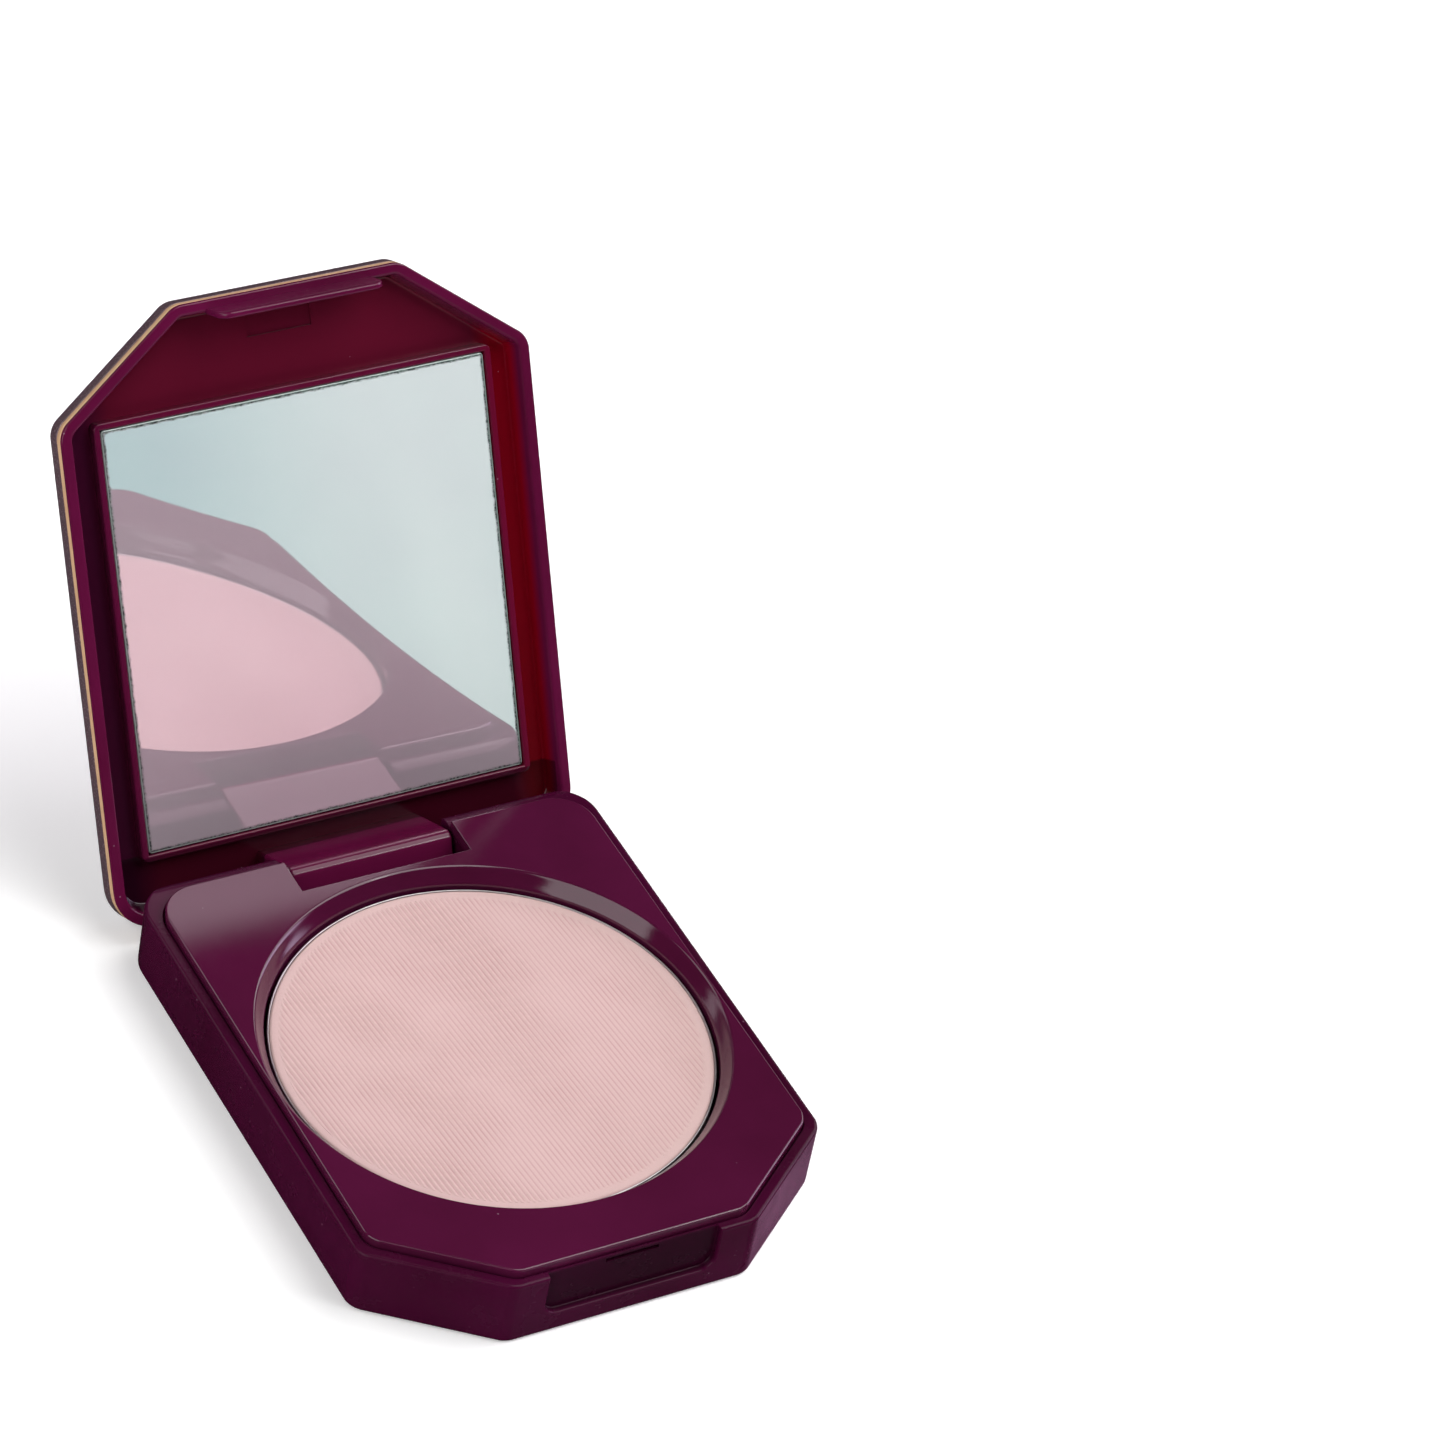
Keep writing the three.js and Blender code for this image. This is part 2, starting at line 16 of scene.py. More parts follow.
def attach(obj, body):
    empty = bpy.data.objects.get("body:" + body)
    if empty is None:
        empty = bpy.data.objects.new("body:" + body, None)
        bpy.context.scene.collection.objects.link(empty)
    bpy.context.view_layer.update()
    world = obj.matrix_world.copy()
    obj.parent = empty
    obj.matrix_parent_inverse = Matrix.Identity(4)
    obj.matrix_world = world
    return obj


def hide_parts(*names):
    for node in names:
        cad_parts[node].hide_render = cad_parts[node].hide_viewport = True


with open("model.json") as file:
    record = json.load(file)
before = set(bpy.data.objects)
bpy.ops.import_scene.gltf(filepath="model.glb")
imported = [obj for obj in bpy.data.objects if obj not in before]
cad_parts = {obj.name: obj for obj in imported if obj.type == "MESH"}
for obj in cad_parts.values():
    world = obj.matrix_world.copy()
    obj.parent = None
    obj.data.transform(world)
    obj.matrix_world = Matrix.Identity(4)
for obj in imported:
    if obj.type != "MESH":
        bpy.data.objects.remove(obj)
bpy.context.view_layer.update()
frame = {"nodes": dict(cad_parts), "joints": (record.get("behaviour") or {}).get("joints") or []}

LOG = logging.getLogger("compact")
MM = 0.001
HINGE = Vector(frame["joints"][0]["pos_m"]) / MM  # the pin axis, in millimetres
OPEN_ANGLE = math.radians(frame["joints"][0]["range_deg"][1])
PAST = 1.0  # how far a cutter runs past what it cuts
NOTCH_HALF = 12.5  # the hinge notch, which the tray and the deck share
NOTCH_FRONT = 32.3
MIRROR_HALF = 28.0  # the glass, in the closed lid
MIRROR_FRONT = -26.8
MIRROR_BACK = HINGE.y - 7.1
RIDGE_PITCH = 0.71  # of the powder's pressed ridges
RIDGE_LEAN = math.atan2(0.09, 0.996)  # of the ridges, from the Y axis

FaceTest = Callable[[Vector, Vector], bool]
EdgeTest = Callable[[Vector, Vector], bool]
Steps = list[tuple[float, float]]
Point = tuple[float, float, float]
Colour = tuple[float, float, float]


# ---------------------------------------------------------------- the modelling bench

def take(piece: bpy.types.Object) -> None:
    """Makes a piece the only selected and active one.

    Args:
        piece: the object that the next operators work on.
    """
    if bpy.context.object and bpy.context.object.mode != "OBJECT":
        bpy.ops.object.mode_set(mode="OBJECT")
    bpy.ops.object.select_all(action="DESELECT")
    piece.select_set(True)
    bpy.context.view_layer.objects.active = piece


def fresh() -> None:
    """Deselects everything, so that a new primitive is alone."""
    if bpy.context.object and bpy.context.object.mode != "OBJECT":
        bpy.ops.object.mode_set(mode="OBJECT")
    bpy.ops.object.select_all(action="DESELECT")


def settle(name: str) -> bpy.types.Object:
    """Names the active object and puts its place and size into its mesh.

    Args:
        name: the object's name.

    Returns:
        The object, standing at the origin.
    """
    piece = bpy.context.object
    piece.name = name
    piece.data.name = name
    bpy.ops.object.transform_apply(location=True, rotation=True, scale=True)
    return piece


def box(name: str, low: Point, high: Point) -> bpy.types.Object:
    """Adds a box between two corners.

    Args:
        name: the object's name.
        low: its lowest corner, in millimetres.
        high: its highest corner.

    Returns:
        The new object.
    """
    fresh()
    size = [b - a for a, b in zip(low, high)]
    middle = [(a + b) / 2 for a, b in zip(low, high)]
    bpy.ops.mesh.primitive_cube_add(size=1, location=middle, scale=size)
    return settle(name)


def rod(name: str, radius: float, low: float, high: float, sides: int = 192) -> bpy.types.Object:
    """Adds an upright round bar on the Z axis.

    Args:
        name: the object's name.
        radius: its radius, in millimetres.
        low: the level of its bottom.
        high: the level of its top.
        sides: how many sides it has.

    Returns:
        The new object.
    """
    fresh()
    bpy.ops.mesh.primitive_cylinder_add(
        vertices=sides, radius=radius, depth=high - low, location=(0, 0, (low + high) / 2))
    return settle(name)


def cross_rod(name: str, radius: float, low: float, high: float, sides: int = 64) -> bpy.types.Object:
    """Adds a round bar along X on the hinge axis.

    Args:
        name: the object's name.
        radius: its radius, in millimetres.
        low: where it starts along X.
        high: where it ends.
        sides: how many sides it has.

    Returns:
        The new object.
    """
    fresh()
    bpy.ops.mesh.primitive_cylinder_add(
        vertices=sides, radius=radius, depth=high - low, rotation=(0, math.pi / 2, 0),
        location=((low + high) / 2, HINGE.y, HINGE.z))
    return settle(name)


def pick_faces(piece: bpy.types.Object, test: FaceTest) -> None:
    """Enters edit mode with the faces that pass a test selected.

    Args:
        piece: the object to edit.
        test: called with each face's middle and normal.
    """
    take(piece)
    bpy.ops.object.mode_set(mode="EDIT")
    bpy.ops.mesh.select_mode(type="FACE")
    bpy.ops.mesh.select_all(action="DESELECT")
    mesh = bmesh.from_edit_mesh(piece.data)
    for face in mesh.faces:
        face.select_set(test(face.calc_center_median(), face.normal))
    bmesh.update_edit_mesh(piece.data)


def pick_edges(piece: bpy.types.Object, test: EdgeTest) -> None:
    """Enters edit mode with the edges that pass a test selected.

    Args:
        piece: the object to edit.
        test: called with each edge's middle and its direction.
    """
    take(piece)
    bpy.ops.object.mode_set(mode="EDIT")
    bpy.ops.mesh.select_mode(type="EDGE")
    bpy.ops.mesh.select_all(action="DESELECT")
    mesh = bmesh.from_edit_mesh(piece.data)
    for edge in mesh.edges:
        start, end = (vertex.co for vertex in edge.verts)
        edge.select_set(test((start + end) / 2, (end - start).normalized()))
    bmesh.update_edit_mesh(piece.data)


def leave_edit() -> None:
    """Goes back to object mode."""
    bpy.ops.object.mode_set(mode="OBJECT")


def soften(piece: bpy.types.Object, test: EdgeTest, offset: float, segments: int = 4) -> None:
    """Rounds the edges that pass a test.

    Args:
        piece: the object to edit.
        test: called with each edge's middle and direction.
        offset: how far the rounding reaches from the edge, in millimetres.
        segments: how many strips the rounding has.
    """
    pick_edges(piece, test)
    bpy.ops.mesh.bevel(offset_type="OFFSET", offset=offset, segments=segments, affect="EDGES")
    leave_edit()


def step_face(piece: bpy.types.Object, test: FaceTest, steps: Steps) -> None:
    """Draws a profile from a face: each step insets it and moves it along its normal.

    Args:
        piece: the object to edit.
        test: picks the face to start from.
        steps: pairs of run, inwards, and rise, along the normal.
    """
    pick_faces(piece, test)
    mesh = bmesh.from_edit_mesh(piece.data)
    normal = next(face.normal.copy() for face in mesh.faces if face.select)
    for run, rise in steps:
        if run > 0:
            bpy.ops.mesh.inset(thickness=run, depth=rise, use_even_offset=True)
        else:
            bpy.ops.mesh.extrude_region_move(
                TRANSFORM_OT_translate={"value": tuple(normal * rise)})
    leave_edit()


def combine(piece: bpy.types.Object, other: bpy.types.Object, how: str) -> None:
    """Joins another body to a piece, or cuts it away, and removes it.

    Args:
        piece: the object that is kept.
        other: the tool body.
        how: the Boolean modifier's operation.
    """
    take(piece)
    modifier = piece.modifiers.new("combine", "BOOLEAN")
    modifier.operation = how
    modifier.solver = "EXACT"
    modifier.object = other
    bpy.ops.object.modifier_apply(modifier=modifier.name)
    bpy.data.objects.remove(other)


def cut(piece: bpy.types.Object, *cutters: bpy.types.Object) -> None:
    """Cuts bodies away from a piece."""
    for cutter in cutters:
        combine(piece, cutter, "DIFFERENCE")


def weld(piece: bpy.types.Object, *others: bpy.types.Object) -> None:
    """Joins bodies to a piece."""
    for other in others:
        combine(piece, other, "UNION")


def rounding(radius: float, count: int = 5, sign: int = 1) -> Steps:
    """Steps of a quarter round that starts steep and ends flat.

    Args:
        radius: its radius, in millimetres.
        count: how many steps it has.
        sign: 1 to rise from the face, -1 to sink.

    Returns:
        The (run, rise) pairs.
    """
    angles = [math.pi / 2 * i / count for i in range(count + 1)]
    points = [(radius * (1 - math.cos(a)), sign * radius * math.sin(a)) for a in angles]
    return [(b[0] - a[0], b[1] - a[1]) for a, b in zip(points, points[1:])]


def flare(radius: float, count: int = 5, sign: int = 1) -> Steps:
    """Steps of a quarter round that starts flat and ends steep.

    Args:
        radius: its radius, in millimetres.
        count: how many steps it has.
        sign: 1 to rise from the face, -1 to sink.

    Returns:
        The (run, rise) pairs.
    """
    return [(abs(rise), sign * run) for run, rise in rounding(radius, count)]


def upwards(level: float) -> FaceTest:
    """A test for faces that look up at a level."""
    return lambda middle, normal: normal.z > 0.99 and abs(middle.z - level) < 1e-3


def downwards(level: float) -> FaceTest:
    """A test for faces that look down at a level."""
    return lambda middle, normal: normal.z < -0.99 and abs(middle.z - level) < 1e-3


# ---------------------------------------------------------------- the shared outline

@dataclass(frozen=True)
class Plan:
    """The compact's outline seen from above: square at the back, chamfered at the front."""

    half_width: float
    front: float
    back: float
    chamfer_x: float
    chamfer_y: float
    fillet: float = 3.0
    back_corner: float = 5.5

    def grown(self, distance: float) -> "Plan":
        """The outline moved outwards all round.

        Args:
            distance: how far, in millimetres; negative moves it inwards.

        Returns:
            The new outline.
        """
        slant = math.hypot(self.chamfer_x, self.chamfer_y)
        across, along = self.chamfer_y / slant, self.chamfer_x / slant
        half_width, front = self.half_width + distance, self.front - distance
        reach = across * (self.half_width - self.chamfer_x) - along * self.front + distance
        return Plan(half_width, front, self.back + distance,
                    half_width - (reach + along * front) / across,
                    (across * half_width - reach) / along - front,
                    self.fillet + distance, self.back_corner + distance)

    def block(self, name: str, low: float, high: float) -> bpy.types.Object:
        """Models a prism on this outline.

        Args:
            name: the object's name.
            low: the level of its bottom, in millimetres.
            high: the level of its top.

        Returns:
            The new object.
        """
        piece = box(name, (-self.half_width, self.front, low), (self.half_width, self.back, high))
        turn = math.atan2(self.chamfer_y, self.chamfer_x)
        take(piece)
        bpy.ops.object.mode_set(mode="EDIT")
        for side in (-1, 1):
            bpy.ops.mesh.select_all(action="SELECT")
            bpy.ops.mesh.bisect(
                plane_co=(side * self.half_width, self.front + self.chamfer_y, 0),
                plane_no=(side * math.sin(turn), -math.cos(turn), 0),
                use_fill=True, clear_outer=True)
        leave_edit()
        corners = (
            (self.half_width, self.back, self.back_corner, 12),
            (self.half_width, self.front + self.chamfer_y,
             self.fillet * math.tan((math.pi / 2 - turn) / 2), 8),
            (self.half_width - self.chamfer_x, self.front, self.fillet * math.tan(turn / 2), 8),
        )
        for x, y, offset, segments in corners:
            soften(piece, lambda middle, way, x=x, y=y: (
                abs(way.z) > 0.99 and abs(abs(middle.x) - x) < 0.01 and abs(middle.y - y) < 0.01),
                offset, segments)
        return piece


BASE_PLAN = Plan(33.5, -40.6, HINGE.y + 2.3, 16.2, 12.2)
DECK_PLAN = Plan(31.7, -39.1, HINGE.y - 0.1, 15.4003, 11.5978)
LID_PLAN = Plan(34.2, -41.6, HINGE.y + 2.3, 17.8954, 13.4768)


# ---------------------------------------------------------------- finishes

class Bench:
    """Adds nodes to a node tree and links them."""

    def __init__(self, tree: bpy.types.NodeTree, place: str) -> None:
        """Starts on a tree.

        Args:
            tree: the node tree.
            place: the Texture Coordinate output that its patterns read.
        """
        self.nodes, self.links = tree.nodes, tree.links
        self.place = self.nodes.new("ShaderNodeTexCoord").outputs[place]

    def node(self, kind: str, inputs: dict, **settings: object) -> bpy.types.Node:
        """Adds a node.

        Args:
            kind: its type, without the leading ShaderNode.
            inputs: by name or number, a value or a socket to link.
            settings: the node's own properties.

        Returns:
            The new node.
        """
        node = self.nodes.new("ShaderNode" + kind)
        for key, value in settings.items():
            setattr(node, key, value)
        for key, value in inputs.items():
            if isinstance(value, bpy.types.NodeSocket):
                self.links.new(value, node.inputs[key])
            else:
                node.inputs[key].default_value = value
        return node

    def noise(self, scale: float, detail: float = 2.0, rough: float = 0.5,
              place: bpy.types.NodeSocket | None = None) -> bpy.types.NodeSocket:
        """A noise pattern.

        Args:
            scale: cells per metre.
            detail: how many finer layers it has.
            rough: how strong the finer layers are.
            place: the coordinates, or None for the object's own.

        Returns:
            Its value, about 0.3 to 0.7.
        """
        return self.node("TexNoise", {
            "Vector": place or self.place, "Scale": scale, "Detail": detail, "Roughness": rough,
        }).outputs["Fac"]

    def remap(self, source: bpy.types.NodeSocket, low: float, high: float,
              to_low: float = 0.0, to_high: float = 1.0) -> bpy.types.NodeSocket:
        """Maps a range of values to another, clamped.

        Args:
            source: the value.
            low: start of its range.
            high: end of its range.
            to_low: what the start becomes.
            to_high: what the end becomes.

        Returns:
            The mapped value.
        """
        return self.node("MapRange", {
            "Value": source, "From Min": low, "From Max": high, "To Min": to_low, "To Max": to_high,
        }).outputs["Result"]

    def math(self, how: str, *values: object) -> bpy.types.NodeSocket:
        """A Math node on values or sockets."""
        return self.node("Math", dict(enumerate(values)), operation=how).outputs[0]

    def blend(self, amount: object, first: object, second: object) -> bpy.types.NodeSocket:
        """Mixes two colours.

        Args:
            amount: how much of the second, 0 to 1.
            first: a colour or a socket.
            second: a colour or a socket.

        Returns:
            The mixed colour.
        """
        def full(colour: object) -> object:
            """Adds an alpha of 1 to a plain colour."""
            return (*colour, 1.0) if isinstance(colour, tuple) else colour
        node = self.node("Mix", {}, data_type="RGBA")
        for index, value in ((0, amount), (6, full(first)), (7, full(second))):
            if isinstance(value, bpy.types.NodeSocket):
                self.links.new(value, node.inputs[index])
            else:
                node.inputs[index].default_value = value
        return node.outputs[2]

class Shade(Bench):
    """Builds one procedural material, node by node."""

    def __init__(self, name: str) -> None:
        """Starts an empty material with one Principled shader.

        Args:
            name: the material's name.
        """
        self.material = bpy.data.materials.new(name)
        self.material.use_nodes = True
        super().__init__(self.material.node_tree, "Object")
        self.shader = self.nodes["Principled BSDF"]

    def set(self, **values: object) -> "Shade":
        """Sets sockets of the shader, named with underscores for blanks."""
        for name, value in values.items():
            self.shader.inputs[name.replace("_", " ")].default_value = value
        return self

    def feed(self, name: str, source: bpy.types.NodeSocket) -> None:
        """Links a socket of the shader."""
        self.links.new(source, self.shader.inputs[name])

    def turned(self, closed: bool) -> bpy.types.NodeSocket:
        """Object coordinates, in the lid's closed position if asked.

        Args:
            closed: whether the piece rides on the open lid.

        Returns:
            A vector socket, in metres.
        """
        if not closed:
            return self.place
        hinge = HINGE * MM
        back = Matrix.Rotation(OPEN_ANGLE, 3, "X")
        return self.node("Mapping", {
            "Vector": self.place, "Rotation": (OPEN_ANGLE, 0, 0), "Location": hinge - back @ hinge,
        }).outputs["Vector"]

    def bump(self, height: bpy.types.NodeSocket, distance: float, strength: float = 1.0,
             under: bpy.types.NodeSocket | None = None) -> bpy.types.NodeSocket:
        """A bump from a height.

        Args:
            height: the pattern.
            distance: how high it stands, in metres.
            strength: how strongly it acts.
            under: another bump's normal to add to.

        Returns:
            The normal.
        """
        inputs = {"Height": height, "Distance": distance, "Strength": strength}
        if under:
            inputs["Normal"] = under
        return self.node("Bump", inputs).outputs["Normal"]


def srgb(code: str) -> Colour:
    """A linear colour from a six-digit code."""
    parts = [int(code[i:i + 2], 16) / 255 for i in (0, 2, 4)]
    return tuple(p / 12.92 if p <= 0.04045 else ((p + 0.055) / 1.055) ** 2.4 for p in parts)


@dataclass(frozen=True)
class Plum:
    """Moulded plum plastic, polished or satin, with painted light and shade inside the lid: dark on the
    left, wine in the middle and red on the right.
    """

    name: str
    colour: Colour
    deep: Colour
    roughness: float
    closed: bool = False
    lighting_tint: tuple[Colour, Colour, Colour] | None = None  # painted light and shade across the cavity: left (painted shade), middle, and right (painted red light through the plastic)
    lighting_tint_from: float = 11.2  # where the painted lighting tint starts, millimetres up the closed lid
    lighting_tint_to: float = 12.6
    painted_shade_box: tuple[Point, Point] | None = None  # a box, in millimetres, where painted shade darkens the plastic
    painted_shade_depth: float = 0.6
    painted_shade_fade: float = 0.15
    gloss: float = 0.35
    grain: float = 0.000004

    def material(self) -> bpy.types.Material:
        """Builds the material.

        Returns:
            The new material.
        """
        shade = Shade(self.name)
        place = shade.turned(self.closed)
        cloud = shade.remap(shade.noise(45, 3, 0.5, place), 0.3, 0.7)
        colour = shade.blend(cloud, self.colour, self.deep)
        axes = shade.node("SeparateXYZ", {"Vector": place}).outputs
        # Painted light and shade: the lid's cavity is drawn dark on the left and bright red on the
        # right, as if lit through the plastic.
        if self.lighting_tint:
            left, middle, right = self.lighting_tint
            lighting_tint = shade.blend(shade.remap(axes["X"], -0.03, -0.026), left, middle)
            lighting_tint = shade.blend(shade.remap(axes["X"], 0.027, 0.03), lighting_tint, right)
            inside = shade.remap(axes["Z"], self.lighting_tint_from * MM, self.lighting_tint_to * MM)
            colour = shade.blend(inside, colour, lighting_tint)
        # Painted shade: inside the box the plastic is drawn towards near black, fading at its faces.
        if self.painted_shade_box:
            amount = self.painted_shade_depth
            for axis, low, high in zip("XYZ", *self.painted_shade_box):
                above, below = (
                    shade.remap(axes[axis], (edge - self.painted_shade_fade) * MM,
                                (edge + self.painted_shade_fade) * MM, *ends)
                    for edge, ends in ((low, (0.0, 1.0)), (high, (1.0, 0.0))))
                amount = shade.math("MULTIPLY", shade.math("MULTIPLY", above, below), amount)
            colour = shade.blend(amount, colour, srgb("0C0206"))
        specks = shade.node("TexVoronoi", {"Vector": place, "Scale": 420.0, "Randomness": 1.0})
        picked = shade.math("LESS_THAN", specks.outputs["Distance"], 0.055)
        chance = shade.node("SeparateColor", {"Color": specks.outputs["Color"]}).outputs[0]
        dust = shade.math("MULTIPLY", picked, shade.math("GREATER_THAN", chance, 0.8))
        colour = shade.blend(shade.math("MULTIPLY", dust, 0.2), colour, srgb("C8A8B8"))
        shade.feed("Base Color", colour)
        smear = shade.remap(shade.noise(160, 4, 0.6, place), 0.35, 0.7, 0.8, 1.35)
        shade.feed("Roughness", shade.math("MULTIPLY", smear, self.roughness))
        wave = shade.bump(shade.noise(70, 1, 0.4, place), 0.00004)
        shade.feed("Normal", shade.bump(shade.noise(9000, 2, 0.6, place), self.grain, 1, wave))
        shade.set(Specular_IOR_Level=self.gloss, IOR=1.5)
        return shade.material


@dataclass(frozen=True)
class RoseGold:
    """Metallised rose-gold plastic with a fine run of the mould along it."""

    name: str = "rose_gold_metallised"

    def material(self) -> bpy.types.Material:
        """Builds the material.

        Returns:
            The new material.
        """
        shade = Shade(self.name)
        cloud = shade.remap(shade.noise(220, 3), 0.3, 0.7)
        shade.feed("Base Color", shade.blend(cloud, srgb("F2C79C"), srgb("E8B98E")))
        shade.feed("Roughness", shade.remap(shade.noise(400, 3, 0.6), 0.3, 0.7, 0.3, 0.38))
        shade.feed("Normal", shade.bump(shade.noise(5000, 2, 0.6), 0.000006))
        shade.set(Metallic=0.3, Coat_Weight=0.3, Coat_Roughness=0.15)
        return shade.material


@dataclass(frozen=True)
class TaupePearl:
    """Taupe lacquer with small pearl flakes under a clear coat."""

    name: str = "taupe_pearl_lacquer"

    def material(self) -> bpy.types.Material:
        """Builds the material.

        Returns:
            The new material.
        """
        shade = Shade(self.name)
        flakes = shade.node("TexVoronoi", {"Vector": shade.place, "Scale": 5200.0})
        glint = shade.node("SeparateColor", {"Color": flakes.outputs["Color"]}).outputs[0]
        cloud = shade.remap(shade.noise(60, 3), 0.3, 0.7)
        body = shade.blend(cloud, srgb("6E565E"), srgb("644E58"))
        colour = shade.blend(shade.remap(glint, 0.72, 1.0, 0.0, 0.6), body, srgb("B7A2A8"))
        shade.feed("Base Color", colour)
        shade.feed("Metallic", shade.remap(glint, 0.5, 1.0, 0.25, 0.75))
        shade.feed("Roughness", shade.remap(glint, 0.0, 1.0, 0.42, 0.28))
        tilt = shade.bump(glint, 0.000004)
        shade.feed("Normal", shade.bump(shade.noise(60, 1), 0.00003, 1, tilt))
        shade.set(Coat_Weight=0.6, Coat_Roughness=0.06)
        return shade.material


@dataclass(frozen=True)
class SilveredGlass:
    """Mirror glass: bright silvering that is worn dark in a ragged line along the edges."""

    name: str = "silvered_glass"

    def material(self) -> bpy.types.Material:
        """Builds the material.

        Returns:
            The new material.
        """
        shade = Shade(self.name)
        place = shade.turned(True)
        axes = shade.node("SeparateXYZ", {"Vector": place}).outputs
        side = shade.math("SUBTRACT", MIRROR_HALF * MM, shade.math("ABSOLUTE", axes["X"]))
        low = shade.math("SUBTRACT", axes["Y"], MIRROR_FRONT * MM)
        high = shade.math("SUBTRACT", MIRROR_BACK * MM, axes["Y"])
        edge = shade.math("MINIMUM", side, shade.math("MINIMUM", low, high))
        ragged = shade.math("MULTIPLY", shade.noise(1500, 4, 0.7, place), 0.0009)
        worn = shade.remap(shade.math("SUBTRACT", edge, ragged), -0.00012, 0.00012, 1.0, 0.0)
        rim = shade.remap(edge, 0.00016, 0.00024, 1.0, 0.0)
        speck = shade.remap(shade.noise(2600, 3, 0.8, place), 0.42, 0.62)
        stain = shade.blend(speck, srgb("2A2A2C"), srgb("8A8E8C"))
        haze = shade.remap(shade.noise(40, 2, 0.5, place), 0.3, 0.7)
        silver = shade.blend(haze, srgb("F6E5EE"), srgb("F0DDE8"))
        colour = shade.blend(worn, silver, stain)
        shade.feed("Base Color", shade.blend(rim, colour, srgb("A9B4B0")))
        shade.feed("Metallic", shade.remap(shade.math("MAXIMUM", worn, rim), 0, 1, 0.6, 0.35))
        shade.feed("Roughness", shade.remap(worn, 0, 1, 0.012, 0.4))
        shade.set(Specular_IOR_Level=0.5)
        return shade.material


@dataclass(frozen=True)
class PressedCake:
    """Matte pressed powder, faintly mottled, with a fine dry grain, pressed ridges and painted shade
    along the ridges' grooves.
    """

    name: str = "pressed_pink_powder"
    reach: float = 27.9  # radius of the ridged face

    def material(self) -> bpy.types.Material:
        """Builds the material.

        Returns:
            The new material.
        """
        shade = Shade(self.name)
        cloud = shade.remap(shade.noise(55, 4, 0.6), 0.32, 0.68)
        colour = shade.blend(cloud, srgb("CEB0AD"), srgb("CBADAA"))
        grain = shade.remap(shade.noise(7000, 3, 0.7), 0.35, 0.65)
        colour = shade.blend(shade.math("MULTIPLY", grain, 0.35), colour, srgb("E0C0BD"))
        freckle = shade.remap(shade.noise(2600, 4, 0.8), 0.62, 0.72)
        colour = shade.blend(shade.math("MULTIPLY", freckle, 0.4), colour, srgb("CFA6A4"))
        # Painted shade: the colour darkens along the grooves between the pressed ridges, in patches,
        # inside the ridged face.
        across = (math.cos(RIDGE_LEAN), math.sin(RIDGE_LEAN), 0)
        run = shade.node("VectorMath", {0: shade.place, 1: across}, operation="DOT_PRODUCT")
        turn = shade.math("MULTIPLY", run.outputs["Value"], 2 * math.pi / (RIDGE_PITCH * MM))
        ridge = shade.remap(shade.math("COSINE", turn), -1.0, -0.2, 1.0, 0.0)
        away = shade.node("VectorMath", {0: shade.place, 1: (1, 1, 0)}, operation="MULTIPLY")
        out = shade.node("VectorMath", {0: away.outputs[0]}, operation="LENGTH").outputs["Value"]
        inside = shade.remap(out, self.reach * MM - 0.0003, self.reach * MM, 1.0, 0.0)
        patch = shade.remap(shade.noise(110, 3, 0.6), 0.35, 0.65, 0.42, 0.66)
        groove = shade.math("MULTIPLY", shade.math("MULTIPLY", ridge, patch), inside)
        colour = shade.blend(groove, colour, srgb("B98C8C"))
        shade.feed("Base Color", colour)
        shade.feed("Roughness", shade.remap(grain, 0, 1, 0.85, 1.0))
        fine = shade.bump(shade.noise(9000, 4, 0.75), 0.00003)
        shade.feed("Normal", shade.bump(shade.noise(1500, 3, 0.6), 0.00003, 1, fine))
        shade.set(Specular_IOR_Level=0.1, Sheen_Weight=0.08, Sheen_Roughness=0.5)
        return shade.material


@dataclass(frozen=True)
class BareMetal:
    """Bare drawn or ground metal with fine turned lines about Z or along X."""

    name: str
    light: Colour
    dark: Colour
    roughness: float
    stretch: Point

    def material(self) -> bpy.types.Material:
        """Builds the material.

        Returns:
            The new material.
        """
        shade = Shade(self.name)
        drawn = shade.node("Mapping", {"Vector": shade.place, "Scale": self.stretch})
        lines = shade.noise(2500, 3, 0.6, drawn.outputs["Vector"])
        shade.feed("Base Color", shade.blend(
            shade.remap(shade.noise(300, 3), 0.3, 0.7), self.light, self.dark))
        shade.feed("Roughness", shade.remap(
            lines, 0.3, 0.7, self.roughness * 0.8, self.roughness * 1.4))
        shade.feed("Normal", shade.bump(lines, 0.000006))
        shade.set(Metallic=1.0)
        return shade.material


@dataclass(frozen=True)
class SetGlue:
    """Glue or foam that has set: dull, a little yellow, with small bubbles."""

    name: str = "set_glue"

    def material(self) -> bpy.types.Material:
        """Builds the material.

        Returns:
            The new material.
        """
        shade = Shade(self.name)
        bubbles = shade.node("TexVoronoi", {"Vector": shade.place, "Scale": 1400.0})
        pit = shade.remap(bubbles.outputs["Distance"], 0.1, 0.4)
        shade.feed("Base Color", shade.blend(pit, srgb("BDB39A"), srgb("DAD6CA")))
        shade.feed("Roughness", shade.remap(shade.noise(500, 3), 0.3, 0.7, 0.4, 0.65))
        shade.feed("Normal", shade.bump(pit, 0.00004))
        return shade.material


# ---------------------------------------------------------------- bodies and pieces

class Body(Enum):
    """The two bodies of the joint."""

    BASE = "base"
    LID = "lid"


class Slot(Enum):
    """The record's material slots."""

    PLUM = "plum_plastic"
    GOLD = "rose_gold"
    PEARL = "taupe_pearl"
    PAN = "pan_metal"
    STEEL = "pin_steel"
    POWDER = "powder"
    MIRROR = "mirror"


